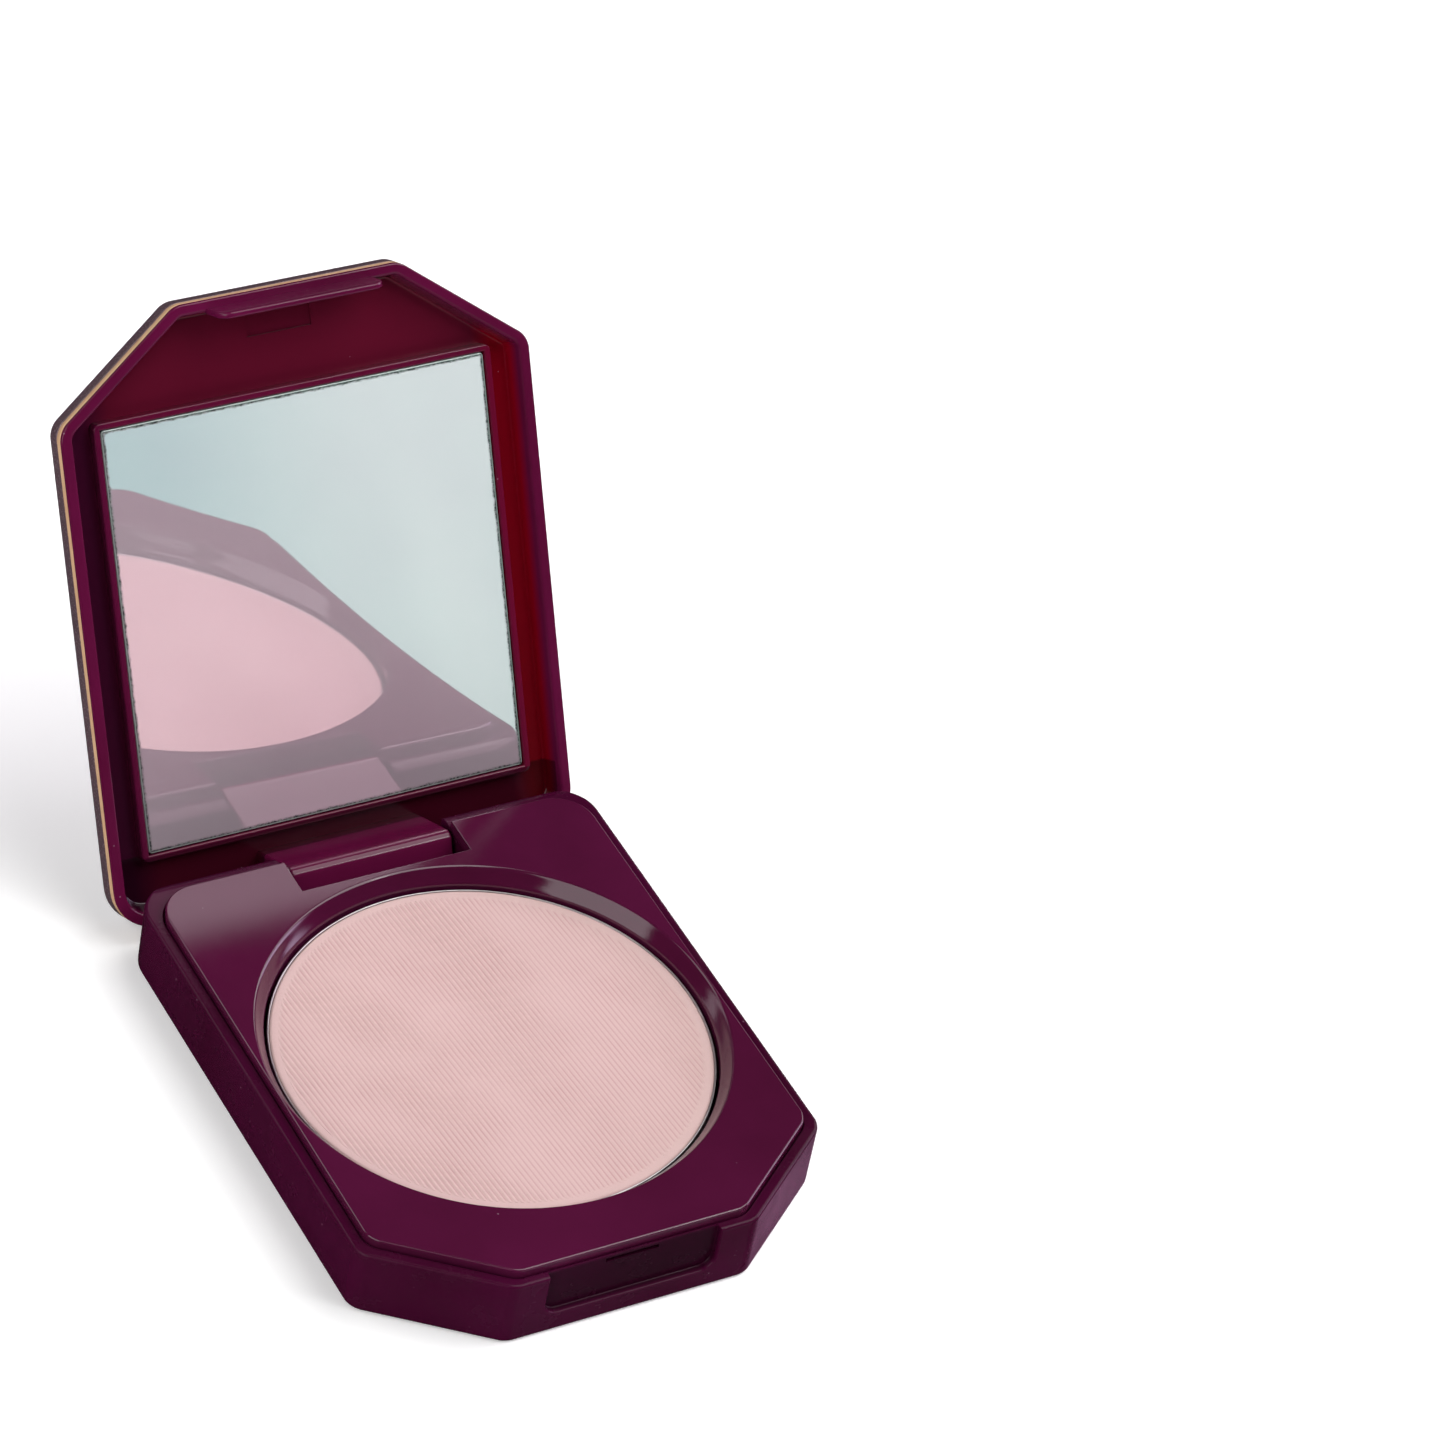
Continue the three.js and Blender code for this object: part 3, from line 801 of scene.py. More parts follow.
def smooth(piece: bpy.types.Object, angle: float = 32.0) -> None:
    """Shades a piece smooth below an angle, with flat faces kept flat.

    Args:
        piece: the object to shade.
        angle: the angle, in degrees, above which an edge stays sharp.
    """
    take(piece)
    bpy.ops.object.shade_smooth_by_angle(angle=math.radians(angle))
    modifier = piece.modifiers.new("even", "WEIGHTED_NORMAL")
    modifier.keep_sharp = True
    modifier.weight = 100
    bpy.ops.object.modifier_apply(modifier=modifier.name)


def close_up(piece: bpy.types.Object) -> None:
    """Merges doubles and points every face outwards."""
    pick_faces(piece, lambda middle, normal: True)
    bpy.ops.mesh.remove_doubles(threshold=0.0005)
    bpy.ops.mesh.normals_make_consistent(inside=False)
    leave_edit()


def hand_over(piece: bpy.types.Object, body: Body, node: str,
              material: bpy.types.Material, angle: float = 32.0) -> None:
    """Finishes a piece: its size in metres, its place on its body, and its finish.

    Args:
        piece: the modelled object, in millimetres, with the lid's pieces drawn closed.
        body: the body that it rides on.
        node: the CAD node that it stands for.
        material: its finish.
        angle: the angle above which its edges stay sharp, in degrees.
    """
    close_up(piece)
    take(piece)
    if body is Body.LID:
        out = Matrix.Translation(HINGE) @ Matrix.Rotation(-OPEN_ANGLE, 4, "X")
        piece.matrix_world = Matrix.Scale(MM, 4) @ out @ Matrix.Translation(-HINGE)
    else:
        piece.matrix_world = Matrix.Scale(MM, 4)
    bpy.context.view_layer.update()
    bpy.ops.object.transform_apply(location=True, rotation=True, scale=True)
    smooth(piece, angle)
    piece.data.materials.clear()
    piece.data.materials.append(material)
    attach(piece, body.value)
    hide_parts(node)
    LOG.info("%s: %d faces, on the %s", piece.name, len(piece.data.polygons), body.value)


@dataclass
class BaseShell:
    """The satin plum tray: ledge, foot, thumb recess, latch slot and hinge housing."""

    ledge: float = 10.3
    top_edge: float = 0.5
    foot_edge: float = 0.8
    floor: float = 1.3
    clearance: float = 0.1
    mouth_edge: float = 0.25
    support: float = 9.9
    recess_half: float = 12.3
    recess_low: float = 3.3
    recess_corner: float = 2.2
    recess_edge: float = 0.3
    panel: float = -39.5
    panel_corner: float = 0.2
    slot_half: float = 3.8
    slot_low: float = 9.1
    slot_high: float = 9.7
    slot_depth: float = 0.6
    notch_corner: float = 0.5
    housing_half: float = 20.0
    housing_front: float = 31.1
    housing_past: float = 0.6
    boss_past: float = 1.7
    boss_back: float = -37.2
    sweep: float = 4.1
    post_radius: float = 2.0
    post_reach: float = 34.1
    post_angles: tuple[float, ...] = (42.0, 138.0, 234.0, 306.0)
    # Painted shade in the thumb recess.
    finish: Plum = Plum("plum_satin", srgb("41082A"), srgb("370521"), 0.24, gloss=0.11,
                        painted_shade_box=((-12.4, -40.1, 3.0), (12.4, -38.8, 10.0)), painted_shade_depth=0.5,
                        grain=0.000009)

    def tray(self) -> bpy.types.Object:
        """The hollow body with its rounded ledge and foot.

        Returns:
            The new object.
        """
        top, low = self.ledge - self.top_edge, self.foot_edge
        tray = BASE_PLAN.block("plum_base_shell", low, top)
        step_face(tray, upwards(top), rounding(self.top_edge, 6))
        step_face(tray, downwards(low), rounding(self.foot_edge, 6))
        mouth = DECK_PLAN.grown(self.clearance + self.mouth_edge)
        hollow = mouth.block("hollow", self.ledge, self.ledge + PAST)
        depth = self.ledge - self.mouth_edge - self.floor
        step_face(hollow, downwards(self.ledge), flare(self.mouth_edge) + [(0, depth)])
        cut(tray, hollow)
        return tray

    def inner_walls(self) -> list[bpy.types.Object]:
        """The hinge housing, the latch boss and the posts under the deck.

        Returns:
            The bodies to join to the tray.
        """
        root = self.floor / 2
        half = self.housing_half
        back = DECK_PLAN.back + self.housing_past
        walls = [box("housing", (-half, self.housing_front, root), (half, back, self.support))]
        boss = self.recess_half + self.boss_past
        walls.append(box("boss", (-boss, self.panel, root), (boss, self.boss_back, self.support)))
        for degrees in self.post_angles:
            angle = math.radians(degrees)
            post = rod("post", self.post_radius, root, self.support, 32)
            post.location = (self.post_reach * math.cos(angle), self.post_reach * math.sin(angle), 0)
            take(post)
            bpy.ops.object.transform_apply(location=True)
            walls.append(post)
        return walls

    def thumb_recess(self) -> bpy.types.Object:
        """The cutter for the thumb recess, with a soft mouth.

        Returns:
            The cutting body.
        """
        front, edge = BASE_PLAN.front, self.recess_edge
        half, low = self.recess_half + edge, self.recess_low - edge
        cutter = box("recess", (-half, front - PAST, low), (half, front, self.ledge + 3 * PAST))
        soften(cutter, lambda middle, way: abs(way.y) > 0.99 and middle.z < low + 0.1,
               self.recess_corner + edge, 8)
        depth = self.panel - front - edge - self.panel_corner
        steps = flare(edge) + [(0, depth)] + rounding(self.panel_corner, 3)
        step_face(cutter, lambda middle, normal: normal.y > 0.99, steps)
        return cutter

    def back_sweep(self) -> bpy.types.Object:
        """The cutter that rounds the back edge about the hinge axis.

        Returns:
            The cutting body.
        """
        half = BASE_PLAN.half_width + PAST
        low = HINGE.z + self.sweep / 2
        corner = box("sweep", (-half, HINGE.y, low), (half, BASE_PLAN.back + PAST, self.ledge + PAST))
        cut(corner, cross_rod("swept", self.sweep, -half - PAST, half + PAST, 192))
        return corner

    def build(self) -> None:
        """Models and dresses the shell."""
        shell = self.tray()
        weld(shell, *self.inner_walls())
        half = NOTCH_HALF
        notch = box("notch", (-half, NOTCH_FRONT, self.floor),
                    (half, BASE_PLAN.back + PAST, self.ledge + PAST))
        soften(notch, lambda middle, way: abs(way.x) > 0.99 and middle.z < self.floor + 0.1
               and middle.y < NOTCH_FRONT + 0.1, self.notch_corner, 4)
        catch = box("catch", (-self.slot_half, self.panel - PAST / 2, self.slot_low),
                    (self.slot_half, self.panel + self.slot_depth, self.slot_high))
        cut(shell, notch, self.thumb_recess(), catch, self.back_sweep())
        hand_over(shell, Body.BASE, "base_shell", self.finish.material())


@dataclass
class BaseDeck:
    """The polished inner plate with the flared well for the pan."""

    bottom: float = 10.0
    top: float = 11.5
    edge: float = 0.3
    cup_radius: float = 31.0
    cup_bottom: float = 2.5
    well_floor: float = 3.5
    well_corner: float = 0.5
    notch_depth: float = 4.0
    notch_edge: float = 0.12
    lip: tuple[tuple[float, float], ...] = (
        (31.62, 11.5), (31.48, 11.475), (31.35, 11.41), (31.22, 11.29), (31.1, 11.12),
        (30.9, 10.8), (30.68, 10.46), (30.45, 10.13), (30.24, 9.85), (30.06, 9.6),
        (29.95, 9.38), (29.9, 9.1))
    finish: Plum = Plum("plum_polished", srgb("4F1234"), srgb("440E2B"), 0.06, gloss=0.5)

    def well(self) -> bpy.types.Object:
        """The cutter for the well, from its lip down to its floor.

        Returns:
            The cutting body.
        """
        cutter = rod("well", self.lip[0][0], self.top, self.top + PAST, 256)
        steps = [(a[0] - b[0], a[1] - b[1]) for a, b in zip(self.lip, self.lip[1:])]
        steps.append((0, self.lip[-1][1] - self.well_floor - self.well_corner))
        step_face(cutter, downwards(self.top), steps + rounding(self.well_corner, 4))
        return cutter

    def build(self) -> None:
        """Models and dresses the deck."""
        deck = DECK_PLAN.block("plum_base_deck", self.bottom, self.top - self.edge)
        step_face(deck, upwards(self.top - self.edge), rounding(self.edge, 5))
        weld(deck, rod("cup", self.cup_radius, self.cup_bottom, (self.bottom + self.top) / 2, 256))
        edge = self.notch_edge
        half = NOTCH_HALF + edge
        notch = box("notch", (-half, NOTCH_FRONT - edge, self.top),
                    (half, BASE_PLAN.back + 2 * PAST, self.top + PAST))
        step_face(notch, downwards(self.top), flare(edge, 4) + [(0, self.notch_depth)])
        cut(deck, self.well(), notch)
        hand_over(deck, Body.BASE, "base_deck", self.finish.material())


@dataclass
class PowderPan:
    """The drawn metal cup, with a rolled bright rim."""

    radius: float = 29.5
    wall: float = 0.26
    bottom: float = 3.9
    rim: float = 8.95
    corner: float = 0.8
    finish: BareMetal = BareMetal("pan_bright_metal", srgb("C2BCBC"), srgb("A9A3A5"), 0.34, (1, 1, 6))

    def build(self) -> None:
        """Models and dresses the pan."""
        low, high, lip = self.bottom + self.corner, self.rim - self.wall / 2, self.wall / 2
        pan = rod("powder_pan_cup", self.radius, low, high, 256)
        step_face(pan, downwards(low), rounding(self.corner))
        depth = high - (self.bottom + self.wall + self.corner)
        inside = rounding(lip, 4) + flare(lip, 4, -1) + [(0, -depth)] + rounding(self.corner, 5, -1)
        step_face(pan, upwards(high), inside)
        hand_over(pan, Body.BASE, "powder_pan", self.finish.material(), 50)


@dataclass
class PressedPowder:
    """The powder cake: a smooth edge ring round a face with fine pressed ridges."""

    radius: float = 29.22
    bottom: float = 4.4
    top: float = 9.0
    corner: float = 1.2
    edge: float = 0.4
    ring: float = 0.8
    groove: float = 0.1
    groove_depth: float = 0.06
    sunk: float = 0.04  # the ridged face, below the top
    height: float = 0.1
    dome: float = 0.12
    across: int = 640
    along: int = 56
    seed: int = 11
    finish: PressedCake = PressedCake()

    def face(self) -> bpy.types.Object:
        """The ridged face, as a thin disc.

        Returns:
            The new object.
        """
        reach = self.radius - self.edge - self.ring
        fresh()
        bpy.ops.mesh.primitive_grid_add(
            x_subdivisions=self.across, y_subdivisions=self.along, size=2 * reach + 2,
            location=(0, 0, 0))
        sheet = settle("ridges")
        places = np.empty(len(sheet.data.vertices) * 3)
        sheet.data.vertices.foreach_get("co", places)
        places = places.reshape(-1, 3)
        u, v = places[:, 0].copy(), places[:, 1].copy()
        draw = np.random.default_rng(self.seed)
        patch = sum(np.sin(u * draw.uniform(-0.5, 0.5) + v * draw.uniform(-0.5, 0.5)
                           + draw.uniform(0, 6.3)) for _ in range(10)) / 10
        wobble = sum(np.sin(v * draw.uniform(0.3, 2.0) + u * draw.uniform(-0.3, 0.3)
                            + draw.uniform(0, 6.3)) for _ in range(6)) * 0.012
        fade = np.clip(0.85 + 1.3 * patch - 0.006 * (u - v), 0.25, 1.4)
        ridge = 0.5 + 0.5 * np.cos(2 * np.pi * (u + wobble) / RIDGE_PITCH)
        swell = self.dome * np.clip(1 - (u * u + v * v) / reach ** 2, 0, 1)
        cos, sin = math.cos(RIDGE_LEAN), math.sin(RIDGE_LEAN)
        places[:, 0] = u * cos - v * sin
        places[:, 1] = u * sin + v * cos
        places[:, 2] = self.top - self.sunk + swell + self.height * fade * (ridge - 0.5)
        sheet.data.vertices.foreach_set("co", places.ravel())
        sheet.data.update()
        pick_faces(sheet, lambda middle, normal: True)
        bpy.ops.mesh.extrude_region_move(TRANSFORM_OT_translate={"value": (0, 0, -0.5)})
        bpy.ops.mesh.select_all(action="SELECT")
        bpy.ops.mesh.normals_make_consistent(inside=False)
        leave_edit()
        combine(sheet, rod("rim", reach, self.top - 1, self.top + 1, 256), "INTERSECT")
        return sheet

    def build(self) -> None:
        """Models and dresses the cake."""
        low, high = self.bottom + self.corner, self.top - self.edge
        cake = rod("pressed_powder_cake", self.radius, low, high, 256)
        step_face(cake, downwards(low), rounding(self.corner, 4))
        rim = rounding(self.edge, 6) + [(self.ring - self.groove, 0), (self.groove, -self.groove_depth)]
        step_face(cake, upwards(high), rim)
        face = self.face()
        take(cake)
        face.select_set(True)
        bpy.ops.object.join()
        hand_over(cake, Body.BASE, "pressed_powder", self.finish.material(), 50)


@dataclass
class HingePin:
    """One short ground pin, chamfered at both ends."""

    side: int
    radius: float = 0.8
    inner: float = 6.5
    outer: float = 19.0
    chamfer: float = 0.2
    finish: BareMetal = BareMetal("pin_ground_steel", srgb("B4B4B8"), srgb("98989E"), 0.25, (1, 8, 8))

    def build(self) -> None:
        """Models and dresses the pin."""
        name = "left" if self.side < 0 else "right"
        low, high = sorted((self.side * self.inner, self.side * self.outer))
        pin = cross_rod("steel_pin_" + name, self.radius, low, high, 48)
        soften(pin, lambda middle, way: abs(way.x) < 0.5, self.chamfer, 2)
        hand_over(pin, Body.BASE, "hinge_pin_" + name, self.finish.material())


@dataclass
class LidInnerShell:
    """The polished plum inside of the lid: rim, cavity, mirror frame, knuckle and latch tab."""

    seat: float = 10.45
    flange: float = 11.0
    rim: float = 1.6
    rim_edge: float = 0.25
    rim_inner_edge: float = 0.45
    floor: float = 13.6
    slope: float = 0.6
    foot: float = 0.4
    plate_top: float = 14.6
    core_inset: float = 1.2
    frame_gap: float = 0.15
    frame_width: float = 0.9
    frame_low: float = 11.85
    frame_edge: float = 0.2
    frame_corner: float = 0.9
    overlap: float = 0.5  # how far the frame and the web run into the floor
    knuckle_half: float = 12.0
    knuckle_reach: float = 3.5
    knuckle_corner: float = 1.3
    knuckle_edge: float = 0.45
    knuckle_back: float = HINGE.y + 2.1
    bore: float = 0.95
    tab_half: float = 12.0
    tab_front: float = -40.5
    tab_back: float = -39.65
    tab_low: float = 5.8
    tab_corner: float = 1.8
    tab_edge: float = 0.28
    lug_half: float = 3.5
    lug_low: float = 9.2
    lug_high: float = 9.6
    lug_back: float = -39.35
    lug_edge: float = 0.12
    window_low: tuple[float, float] = (-5.3, -38.3)
    window_high: tuple[float, float] = (4.2, -34.8)
    window_edge: float = 0.1
    window_depth: float = 0.18
    skin: float = 0.01  # between the window's start and the cavity's floor
    # Painted light and shade in the cavity: dark on the left, red light through the plastic on the
    # right.
    finish: Plum = Plum("plum_lid_polished", srgb("5C1038"), srgb("500C2E"), 0.09, closed=True,
                        lighting_tint=(srgb("3C0A26"), srgb("560E24"), srgb("7A0216")), gloss=0.3,
                        # Painted shade at the cavity's hinge end, below the mirror.
                        painted_shade_box=((-34.0, 31.6, 11.3), (34.0, 41.0, 15.0)), painted_shade_depth=0.65)

    def tray(self) -> bpy.types.Object:
        """The rim, the sloping wall and the floor of the cavity.

        Returns:
            The new object.
        """
        low = self.seat + self.rim_edge
        tray = LID_PLAN.block("plum_lid_inner_shell", low, self.flange)
        wall_top = self.seat + self.rim_inner_edge
        flat = self.rim - self.rim_edge - self.rim_inner_edge
        drop = self.floor - self.foot - wall_top
        steps = rounding(self.rim_edge) + [(flat, 0)] + flare(self.rim_inner_edge, 6, -1)
        steps += [(self.slope, -drop)] + rounding(self.foot, 5, -1)
        step_face(tray, downwards(low), steps)
        step_face(tray, upwards(self.flange),
                  [(self.core_inset, 0), (0, self.plate_top - self.flange)])
        return tray

    def mirror_frame(self) -> bpy.types.Object:
        """The raised frame round the glass.

        Returns:
            The new object.
        """
        grow = self.frame_gap + self.frame_width
        low = self.frame_low + self.frame_edge
        half, front, back = MIRROR_HALF + grow, MIRROR_FRONT - grow, MIRROR_BACK + grow
        ridge = box("frame", (-half, front, low), (half, back, self.floor + self.overlap))
        soften(ridge, lambda middle, way: abs(way.z) > 0.99, self.frame_corner, 6)
        flat = self.frame_width - 2 * self.frame_edge
        depth = self.floor - 0.02 - low
        steps = rounding(self.frame_edge, 4) + [(flat, 0)] + flare(self.frame_edge, 4, -1)
        step_face(ridge, downwards(low), steps + [(0, -depth)])
        return ridge

    def knuckle(self) -> list[bpy.types.Object]:
        """The hinge knuckle and the web that joins it to the lid.

        Returns:
            The bodies to join to the tray.
        """
        half, front = self.knuckle_half, HINGE.y - self.knuckle_reach
        low = HINGE.z - self.knuckle_reach
        bar = box("knuckle", (-half, front, low), (half, self.knuckle_back, self.flange - 0.02))
        soften(bar, lambda middle, way: abs(way.x) > 0.99 and middle.z < low + 0.1,
               self.knuckle_corner, 8)
        soften(bar, lambda middle, way: abs(abs(middle.x) - half) < 0.01 and abs(way.x) < 0.1
               and middle.z < self.flange - 0.1, self.knuckle_edge, 4)
        web_back = LID_PLAN.back - self.rim
        web = box("web", (-half, front, self.flange - 1), (half, web_back, self.floor + self.overlap))
        soften(web, lambda middle, way: abs(way.z) > 0.99 and middle.y < front + 0.1,
               self.knuckle_edge, 4)
        return [bar, web]

    def latch_tab(self) -> list[bpy.types.Object]:
        """The tab that hangs from the front edge, with its catch lug.

        Returns:
            The bodies to join to the tray.
        """
        half, front, back = self.tab_half, self.tab_front, self.tab_back
        tab = box("tab", (-half, front, self.tab_low), (half, back, self.flange - 0.05))
        soften(tab, lambda middle, way: abs(way.y) > 0.99 and middle.z < self.tab_low + 0.1,
               self.tab_corner, 8)
        soften(tab, lambda middle, way: abs(way.y) < 0.1 and middle.z < self.seat - 0.1,
               self.tab_edge, 4)
        lug = box("lug", (-self.lug_half, back - 0.4, self.lug_low),
                  (self.lug_half, self.lug_back, self.lug_high))
        soften(lug, lambda middle, way: middle.y > self.lug_back - 0.05 or abs(way.y) > 0.9,
               self.lug_edge, 3)
        return [tab, lug]

    def window(self) -> bpy.types.Object:
        """The cutter for the shallow mould window behind the tab.

        Returns:
            The cutting body.
        """
        start = self.floor - self.skin
        cutter = box("window", (*self.window_low, self.floor - PAST), (*self.window_high, start))
        step_face(cutter, upwards(start), flare(self.window_edge, 2) + [(0, self.window_depth)])
        return cutter

    def build(self) -> None:
        """Models and dresses the shell."""
        shell = self.tray()
        weld(shell, self.mirror_frame(), *self.knuckle(), *self.latch_tab())
        reach = self.knuckle_half + PAST
        cut(shell, self.window(), cross_rod("bore", self.bore, -reach, reach, 48))
        hand_over(shell, Body.LID, "lid_inner_shell", self.finish.material())


@dataclass
class LidTrimRing:
    """The rose-gold band round the edge of the lid."""

    bottom: float = 11.1
    top: float = 12.2
    edge: float = 0.18
    width: float = 1.1
    finish: RoseGold = RoseGold()

    def build(self) -> None:
        """Models and dresses the band."""
        low, high = self.bottom + self.edge, self.top - self.edge
        ring = LID_PLAN.block("rose_gold_trim_ring", low, high)
        step_face(ring, upwards(high), rounding(self.edge, 4))
        step_face(ring, downwards(low), rounding(self.edge, 4))
        cut(ring, LID_PLAN.grown(-self.width).block("hole", low - PAST, high + PAST))
        hand_over(ring, Body.LID, "lid_trim_ring", self.finish.material())


@dataclass
class LidOuterCover:
    """The pearl plate that closes the back of the lid."""

    bottom: float = 12.3
    inside: float = 14.7
    top: float = 15.85
    round_edge: float = 2.0
    rim_edge: float = 0.15
    width: float = 1.1
    finish: TaupePearl = TaupePearl()

    def build(self) -> None:
        """Models and dresses the plate."""
        low, high = self.bottom + self.rim_edge, self.top - self.round_edge
        cover = LID_PLAN.block("taupe_outer_cover", low, high)
        step_face(cover, upwards(high), rounding(self.round_edge, 12))
        hollow = [(self.width - self.rim_edge, 0), (0, -(self.inside - self.bottom))]
        step_face(cover, downwards(low), rounding(self.rim_edge, 4) + hollow)
        hand_over(cover, Body.LID, "lid_outer_cover", self.finish.material())


@dataclass
class MirrorGlass:
    """The square glass with a fine ground edge."""

    face: float = 12.2
    rear: float = 13.2
    corner: float = 0.5
    edge: float = 0.15
    lean: tuple[Point, Point] = ((-0.0145, 0.0051, -0.0041), (0.2171, 0.0225, -0.0106))
    lean_span: float = 30.0
    lean_middle: float = 36.0
    finish: SilveredGlass = SilveredGlass()

    def settle_reflection(self, glass: bpy.types.Object) -> None:
        """Sets the silvering's own normals, which lean forwards of the glass.

        Args:
            glass: the finished glass, in metres, with the lid open.
        """
        turn = Matrix.Rotation(-OPEN_ANGLE, 3, "X")
        outwards, along = turn @ Vector((0, 0, -1)), turn @ Vector((0, -1, 0))
        mesh = glass.data
        normals = [Vector(corner.vector) for corner in mesh.corner_normals]
        for face in mesh.polygons:
            if face.normal.dot(outwards) < 0.999:
                continue
            for index in face.loop_indices:
                place = mesh.vertices[mesh.loops[index].vertex_index].co / MM - HINGE
                u = place.x / self.lean_span
                v = (place.dot(along) - self.lean_middle) / self.lean_span
                x, z = (flat + by_u * u + by_v * v for flat, by_u, by_v in self.lean)
                normals[index] = Vector((x, -1, z)).normalized()
        mesh.normals_split_custom_set(normals)

    def build(self) -> None:
        """Models and dresses the glass."""
        glass = box("silvered_mirror_glass", (-MIRROR_HALF, MIRROR_FRONT, self.face),
                    (MIRROR_HALF, MIRROR_BACK, self.rear))
        soften(glass, lambda middle, way: abs(way.z) > 0.99, self.corner, 5)
        soften(glass, lambda middle, way: abs(way.z) < 0.1, self.edge, 2)
        hand_over(glass, Body.LID, "mirror_glass", self.finish.material(), 20)
        self.settle_reflection(glass)


# ---------------------------------------------------------------- studio

@dataclass(frozen=True)
class Softbox:
    """A square area light that looks at the compact."""

    name: str
    place: Point
    size: float
    power: float
    aim: Point = (0.0, 0.0, 0.02)

    def build(self) -> None:
        """Adds the light."""
        fresh()
        bpy.ops.object.light_add(type="AREA", location=self.place)
        lamp = bpy.context.object
        lamp.name = self.name
        lamp.data.shape = "SQUARE"
        lamp.data.size = self.size
        lamp.data.energy = self.power
        way = Vector(self.aim) - Vector(self.place)
        lamp.rotation_euler = way.to_track_quat("-Z", "Y").to_euler()


@dataclass(frozen=True)
class Glow:
    """A soft patch of light on the world, such as a card or a pale wall."""

    way: Point
    inner: float  # degrees from its middle where it is full
    outer: float  # degrees from its middle where it ends
    colour: Colour
    cloud: Colour | None = None  # what it drifts to in soft patches

    def build(self, sky: Bench) -> bpy.types.NodeSocket:
        """Adds the patch to the world.

        Args:
            sky: the world's nodes.

        Returns:
            Its light, as a colour.
        """
        way = {0: sky.place, 1: Vector(self.way).normalized()}
        dot = sky.node("VectorMath", way, operation="DOT_PRODUCT").outputs["Value"]
        ends = {"From Min": math.cos(math.radians(self.outer)),
                "From Max": math.cos(math.radians(self.inner))}
        fade = sky.node("MapRange", {"Value": dot, **ends}, interpolation_type="SMOOTHSTEP")
        drift = sky.remap(sky.noise(11.0), 0.38, 0.62)
        lighting_tint = sky.blend(drift, self.colour, self.cloud or self.colour)
        light = {0: lighting_tint, "Scale": fade.outputs["Result"]}
        return sky.node("VectorMath", light, operation="SCALE").outputs[0]


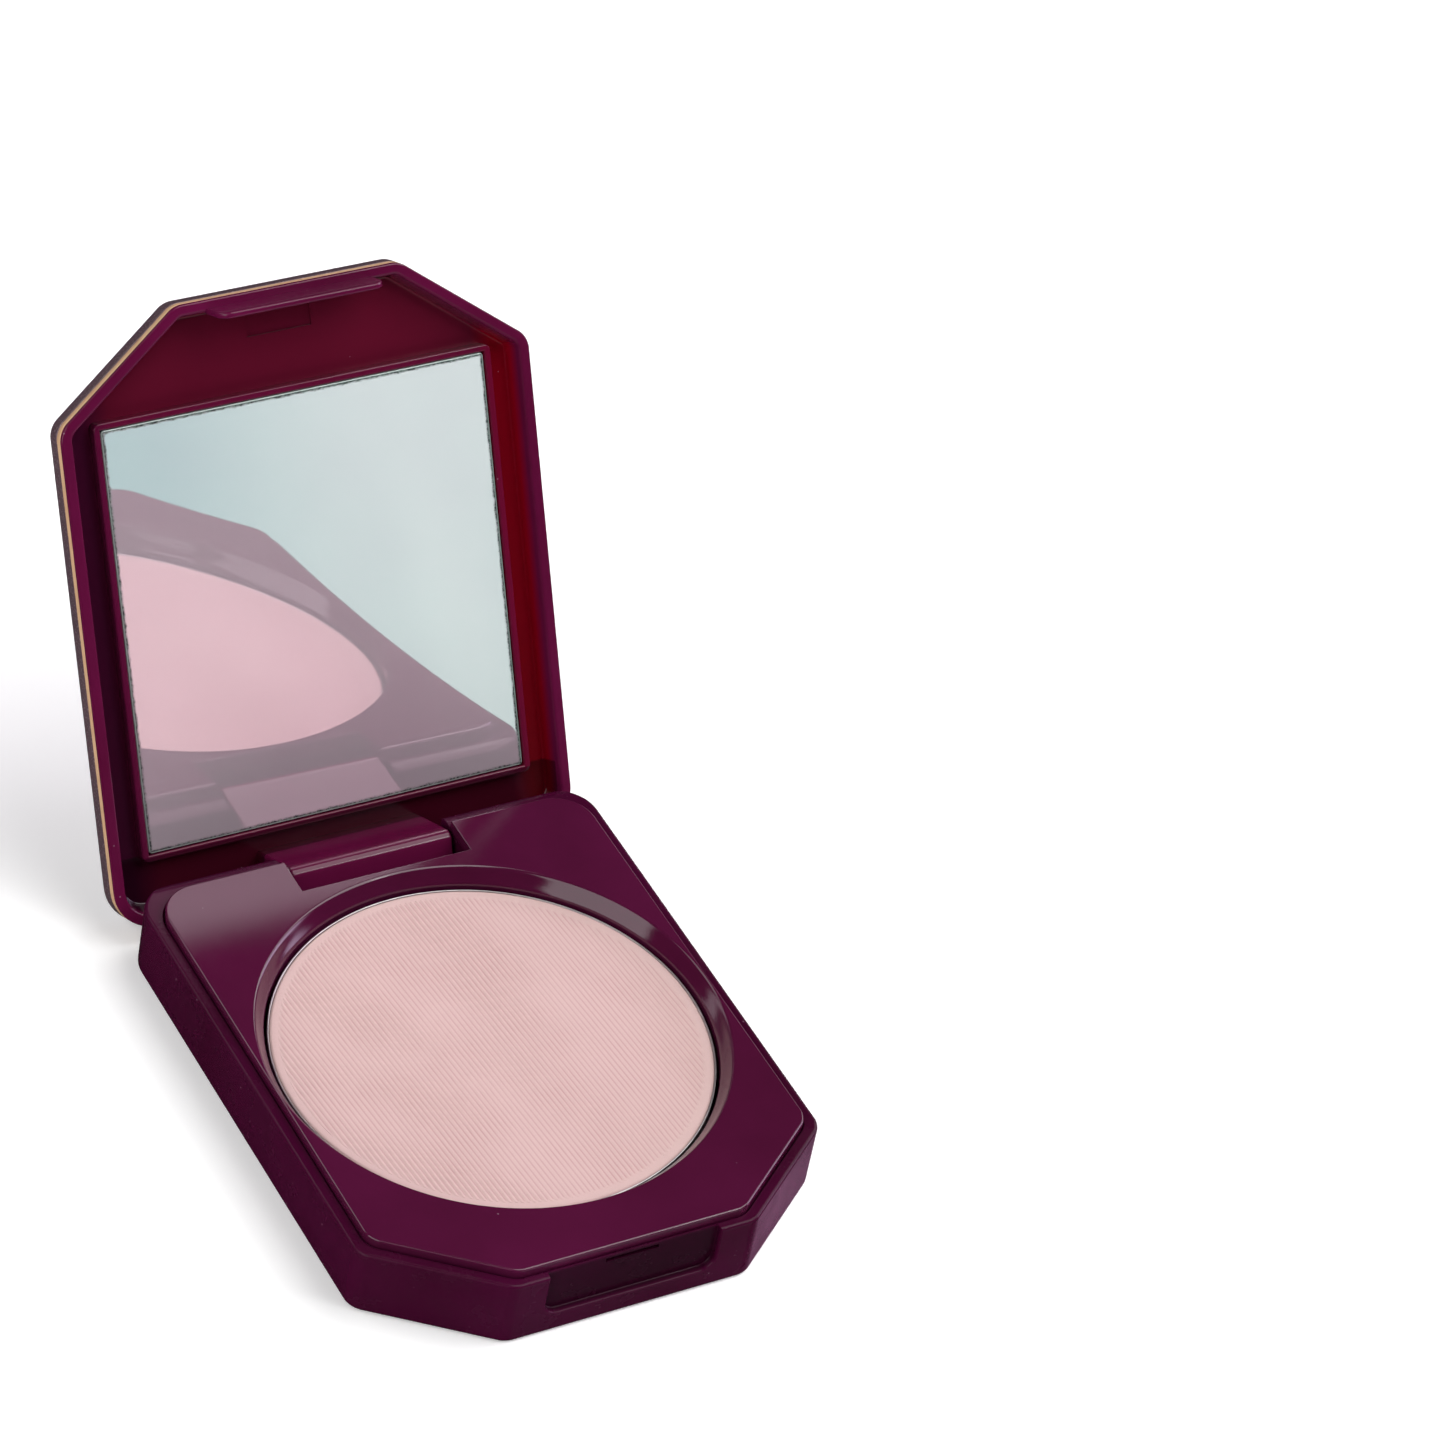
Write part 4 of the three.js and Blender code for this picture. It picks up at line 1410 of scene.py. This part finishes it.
@dataclass
class Studio:
    """The floor, the light and the camera."""

    glows: tuple[Glow, ...] = (
        Glow((0, 0, 1), 179, 180, (0.012, 0.011, 0.012)),
        Glow((0.4216, -0.843, -0.332), 16, 29, (0.24, 0.66, 0.56), (0.16, 0.55, 0.47)),
        Glow((0.42, -0.868, -0.262), 1, 6.5, (0.36, 0.32, 0.26), (0.24, 0.22, 0.18)),
        Glow((0.71, 0.26, -0.65), 8, 25, (0.5, 0.25, 0.42)),
        Glow((0.97, -0.1, 0.24), 8, 20, (4.6, 3.7, 5.1)),
        Glow((0.76, 0.61, 0.2), 4, 12, (1.8, 1.4, 1.6)),
    )
    camera_place: Point = (-0.32187, -0.47740, 0.5682)
    camera_right: Point = (0.870074, -0.468018, 0.154695)
    camera_up: Point = (0.211167, 0.637484, 0.740961)
    camera_back: Point = (-0.445398, -0.612025, 0.653488)
    lens: float = 153.34
    sensor: float = 36.0
    lamps: Iterable[Softbox] = field(default_factory=lambda: (
        Softbox("key", (0.46, -0.16, 0.87), 0.9, 9.6),
        Softbox("fill", (-1.0, -0.35, 0.68), 1.1, 9.8),
        Softbox("back", (-0.7, 0.8, 0.8), 0.6, 2.4),
        Softbox("rim", (0.9, 0.35, 0.55), 0.4, 2.0),
        Softbox("spark", (0.445, -0.456, 0.771), 0.1, 0.5),
    ))

    def floor(self) -> None:
        """Adds the pale floor."""
        fresh()
        bpy.ops.mesh.primitive_plane_add(size=6, location=(0, 0, 0))
        floor = settle("studio_floor")
        shade = Shade("studio_floor_paint")
        cloud = shade.remap(shade.noise(6, 2), 0.3, 0.7)
        shade.feed("Base Color", shade.blend(cloud, (0.93, 0.93, 0.93), (0.95, 0.95, 0.95)))
        shade.set(Roughness=0.9, Specular_IOR_Level=0.1, Emission_Color=(1, 1, 1, 1),
                  Emission_Strength=0.24)
        floor.data.materials.append(shade.material)
        floor.visible_glossy = False

    def backdrop(self) -> None:
        """Adds the pale wall seen behind the floor, which lights and mirrors nothing."""
        fresh()
        bpy.ops.mesh.primitive_uv_sphere_add(segments=48, ring_count=24, radius=1.3)
        wall = settle("studio_backdrop")
        shade = Shade("studio_backdrop_paint")
        shade.set(Base_Color=(0, 0, 0, 1), Roughness=1.0, Specular_IOR_Level=0.0,
                  Emission_Color=(1, 1, 1, 1), Emission_Strength=1.0)
        wall.data.materials.append(shade.material)
        wall.visible_diffuse = wall.visible_glossy = False
        wall.visible_transmission = wall.visible_shadow = False

    def surroundings(self) -> None:
        """Lights the world: dim all round, with a few soft cards beyond the view."""
        world = bpy.data.worlds.new("studio")
        bpy.context.scene.world = world
        world.use_nodes = True
        sky = Bench(world.node_tree, "Generated")
        total = None
        for glow in self.glows:
            lit = glow.build(sky)
            total = lit if total is None else sky.node(
                "VectorMath", {0: total, 1: lit}, operation="ADD").outputs[0]
        sky.links.new(total, sky.nodes["Background"].inputs["Color"])
        sky.nodes["Background"].inputs["Strength"].default_value = 1.0

    def camera(self) -> None:
        """Adds the camera and makes it the scene's."""
        fresh()
        bpy.ops.object.camera_add()
        camera = bpy.context.object
        axes = Matrix((self.camera_right, self.camera_up, self.camera_back)).transposed()
        camera.matrix_world = Matrix.Translation(self.camera_place) @ axes.to_4x4()
        camera.data.lens = self.lens
        camera.data.sensor_width = self.sensor
        bpy.context.scene.camera = camera

    def build(self) -> None:
        """Sets up the studio."""
        self.floor()
        self.backdrop()
        self.surroundings()
        for lamp in self.lamps:
            lamp.build()
        self.camera()
        bpy.context.scene.view_settings.view_transform = "Standard"


def dress_adhesives() -> None:
    """Gives the two hidden glue layers their finish."""
    glue = SetGlue().material()
    for name in ("pan_adhesive", "mirror_adhesive"):
        node = frame["nodes"][name]
        node.data.materials.clear()
        node.data.materials.append(glue)


def main() -> None:
    """Builds the pieces, then the studio."""
    logging.basicConfig(level=logging.INFO, format="%(name)s: %(message)s")
    pieces = (BaseShell(), BaseDeck(), PowderPan(), PressedPowder(), HingePin(-1), HingePin(1),
              LidInnerShell(), LidTrimRing(), LidOuterCover(), MirrorGlass())
    for piece in pieces:
        piece.build()
    dress_adhesives()
    Studio().build()


if __name__ == "__main__":
    main()
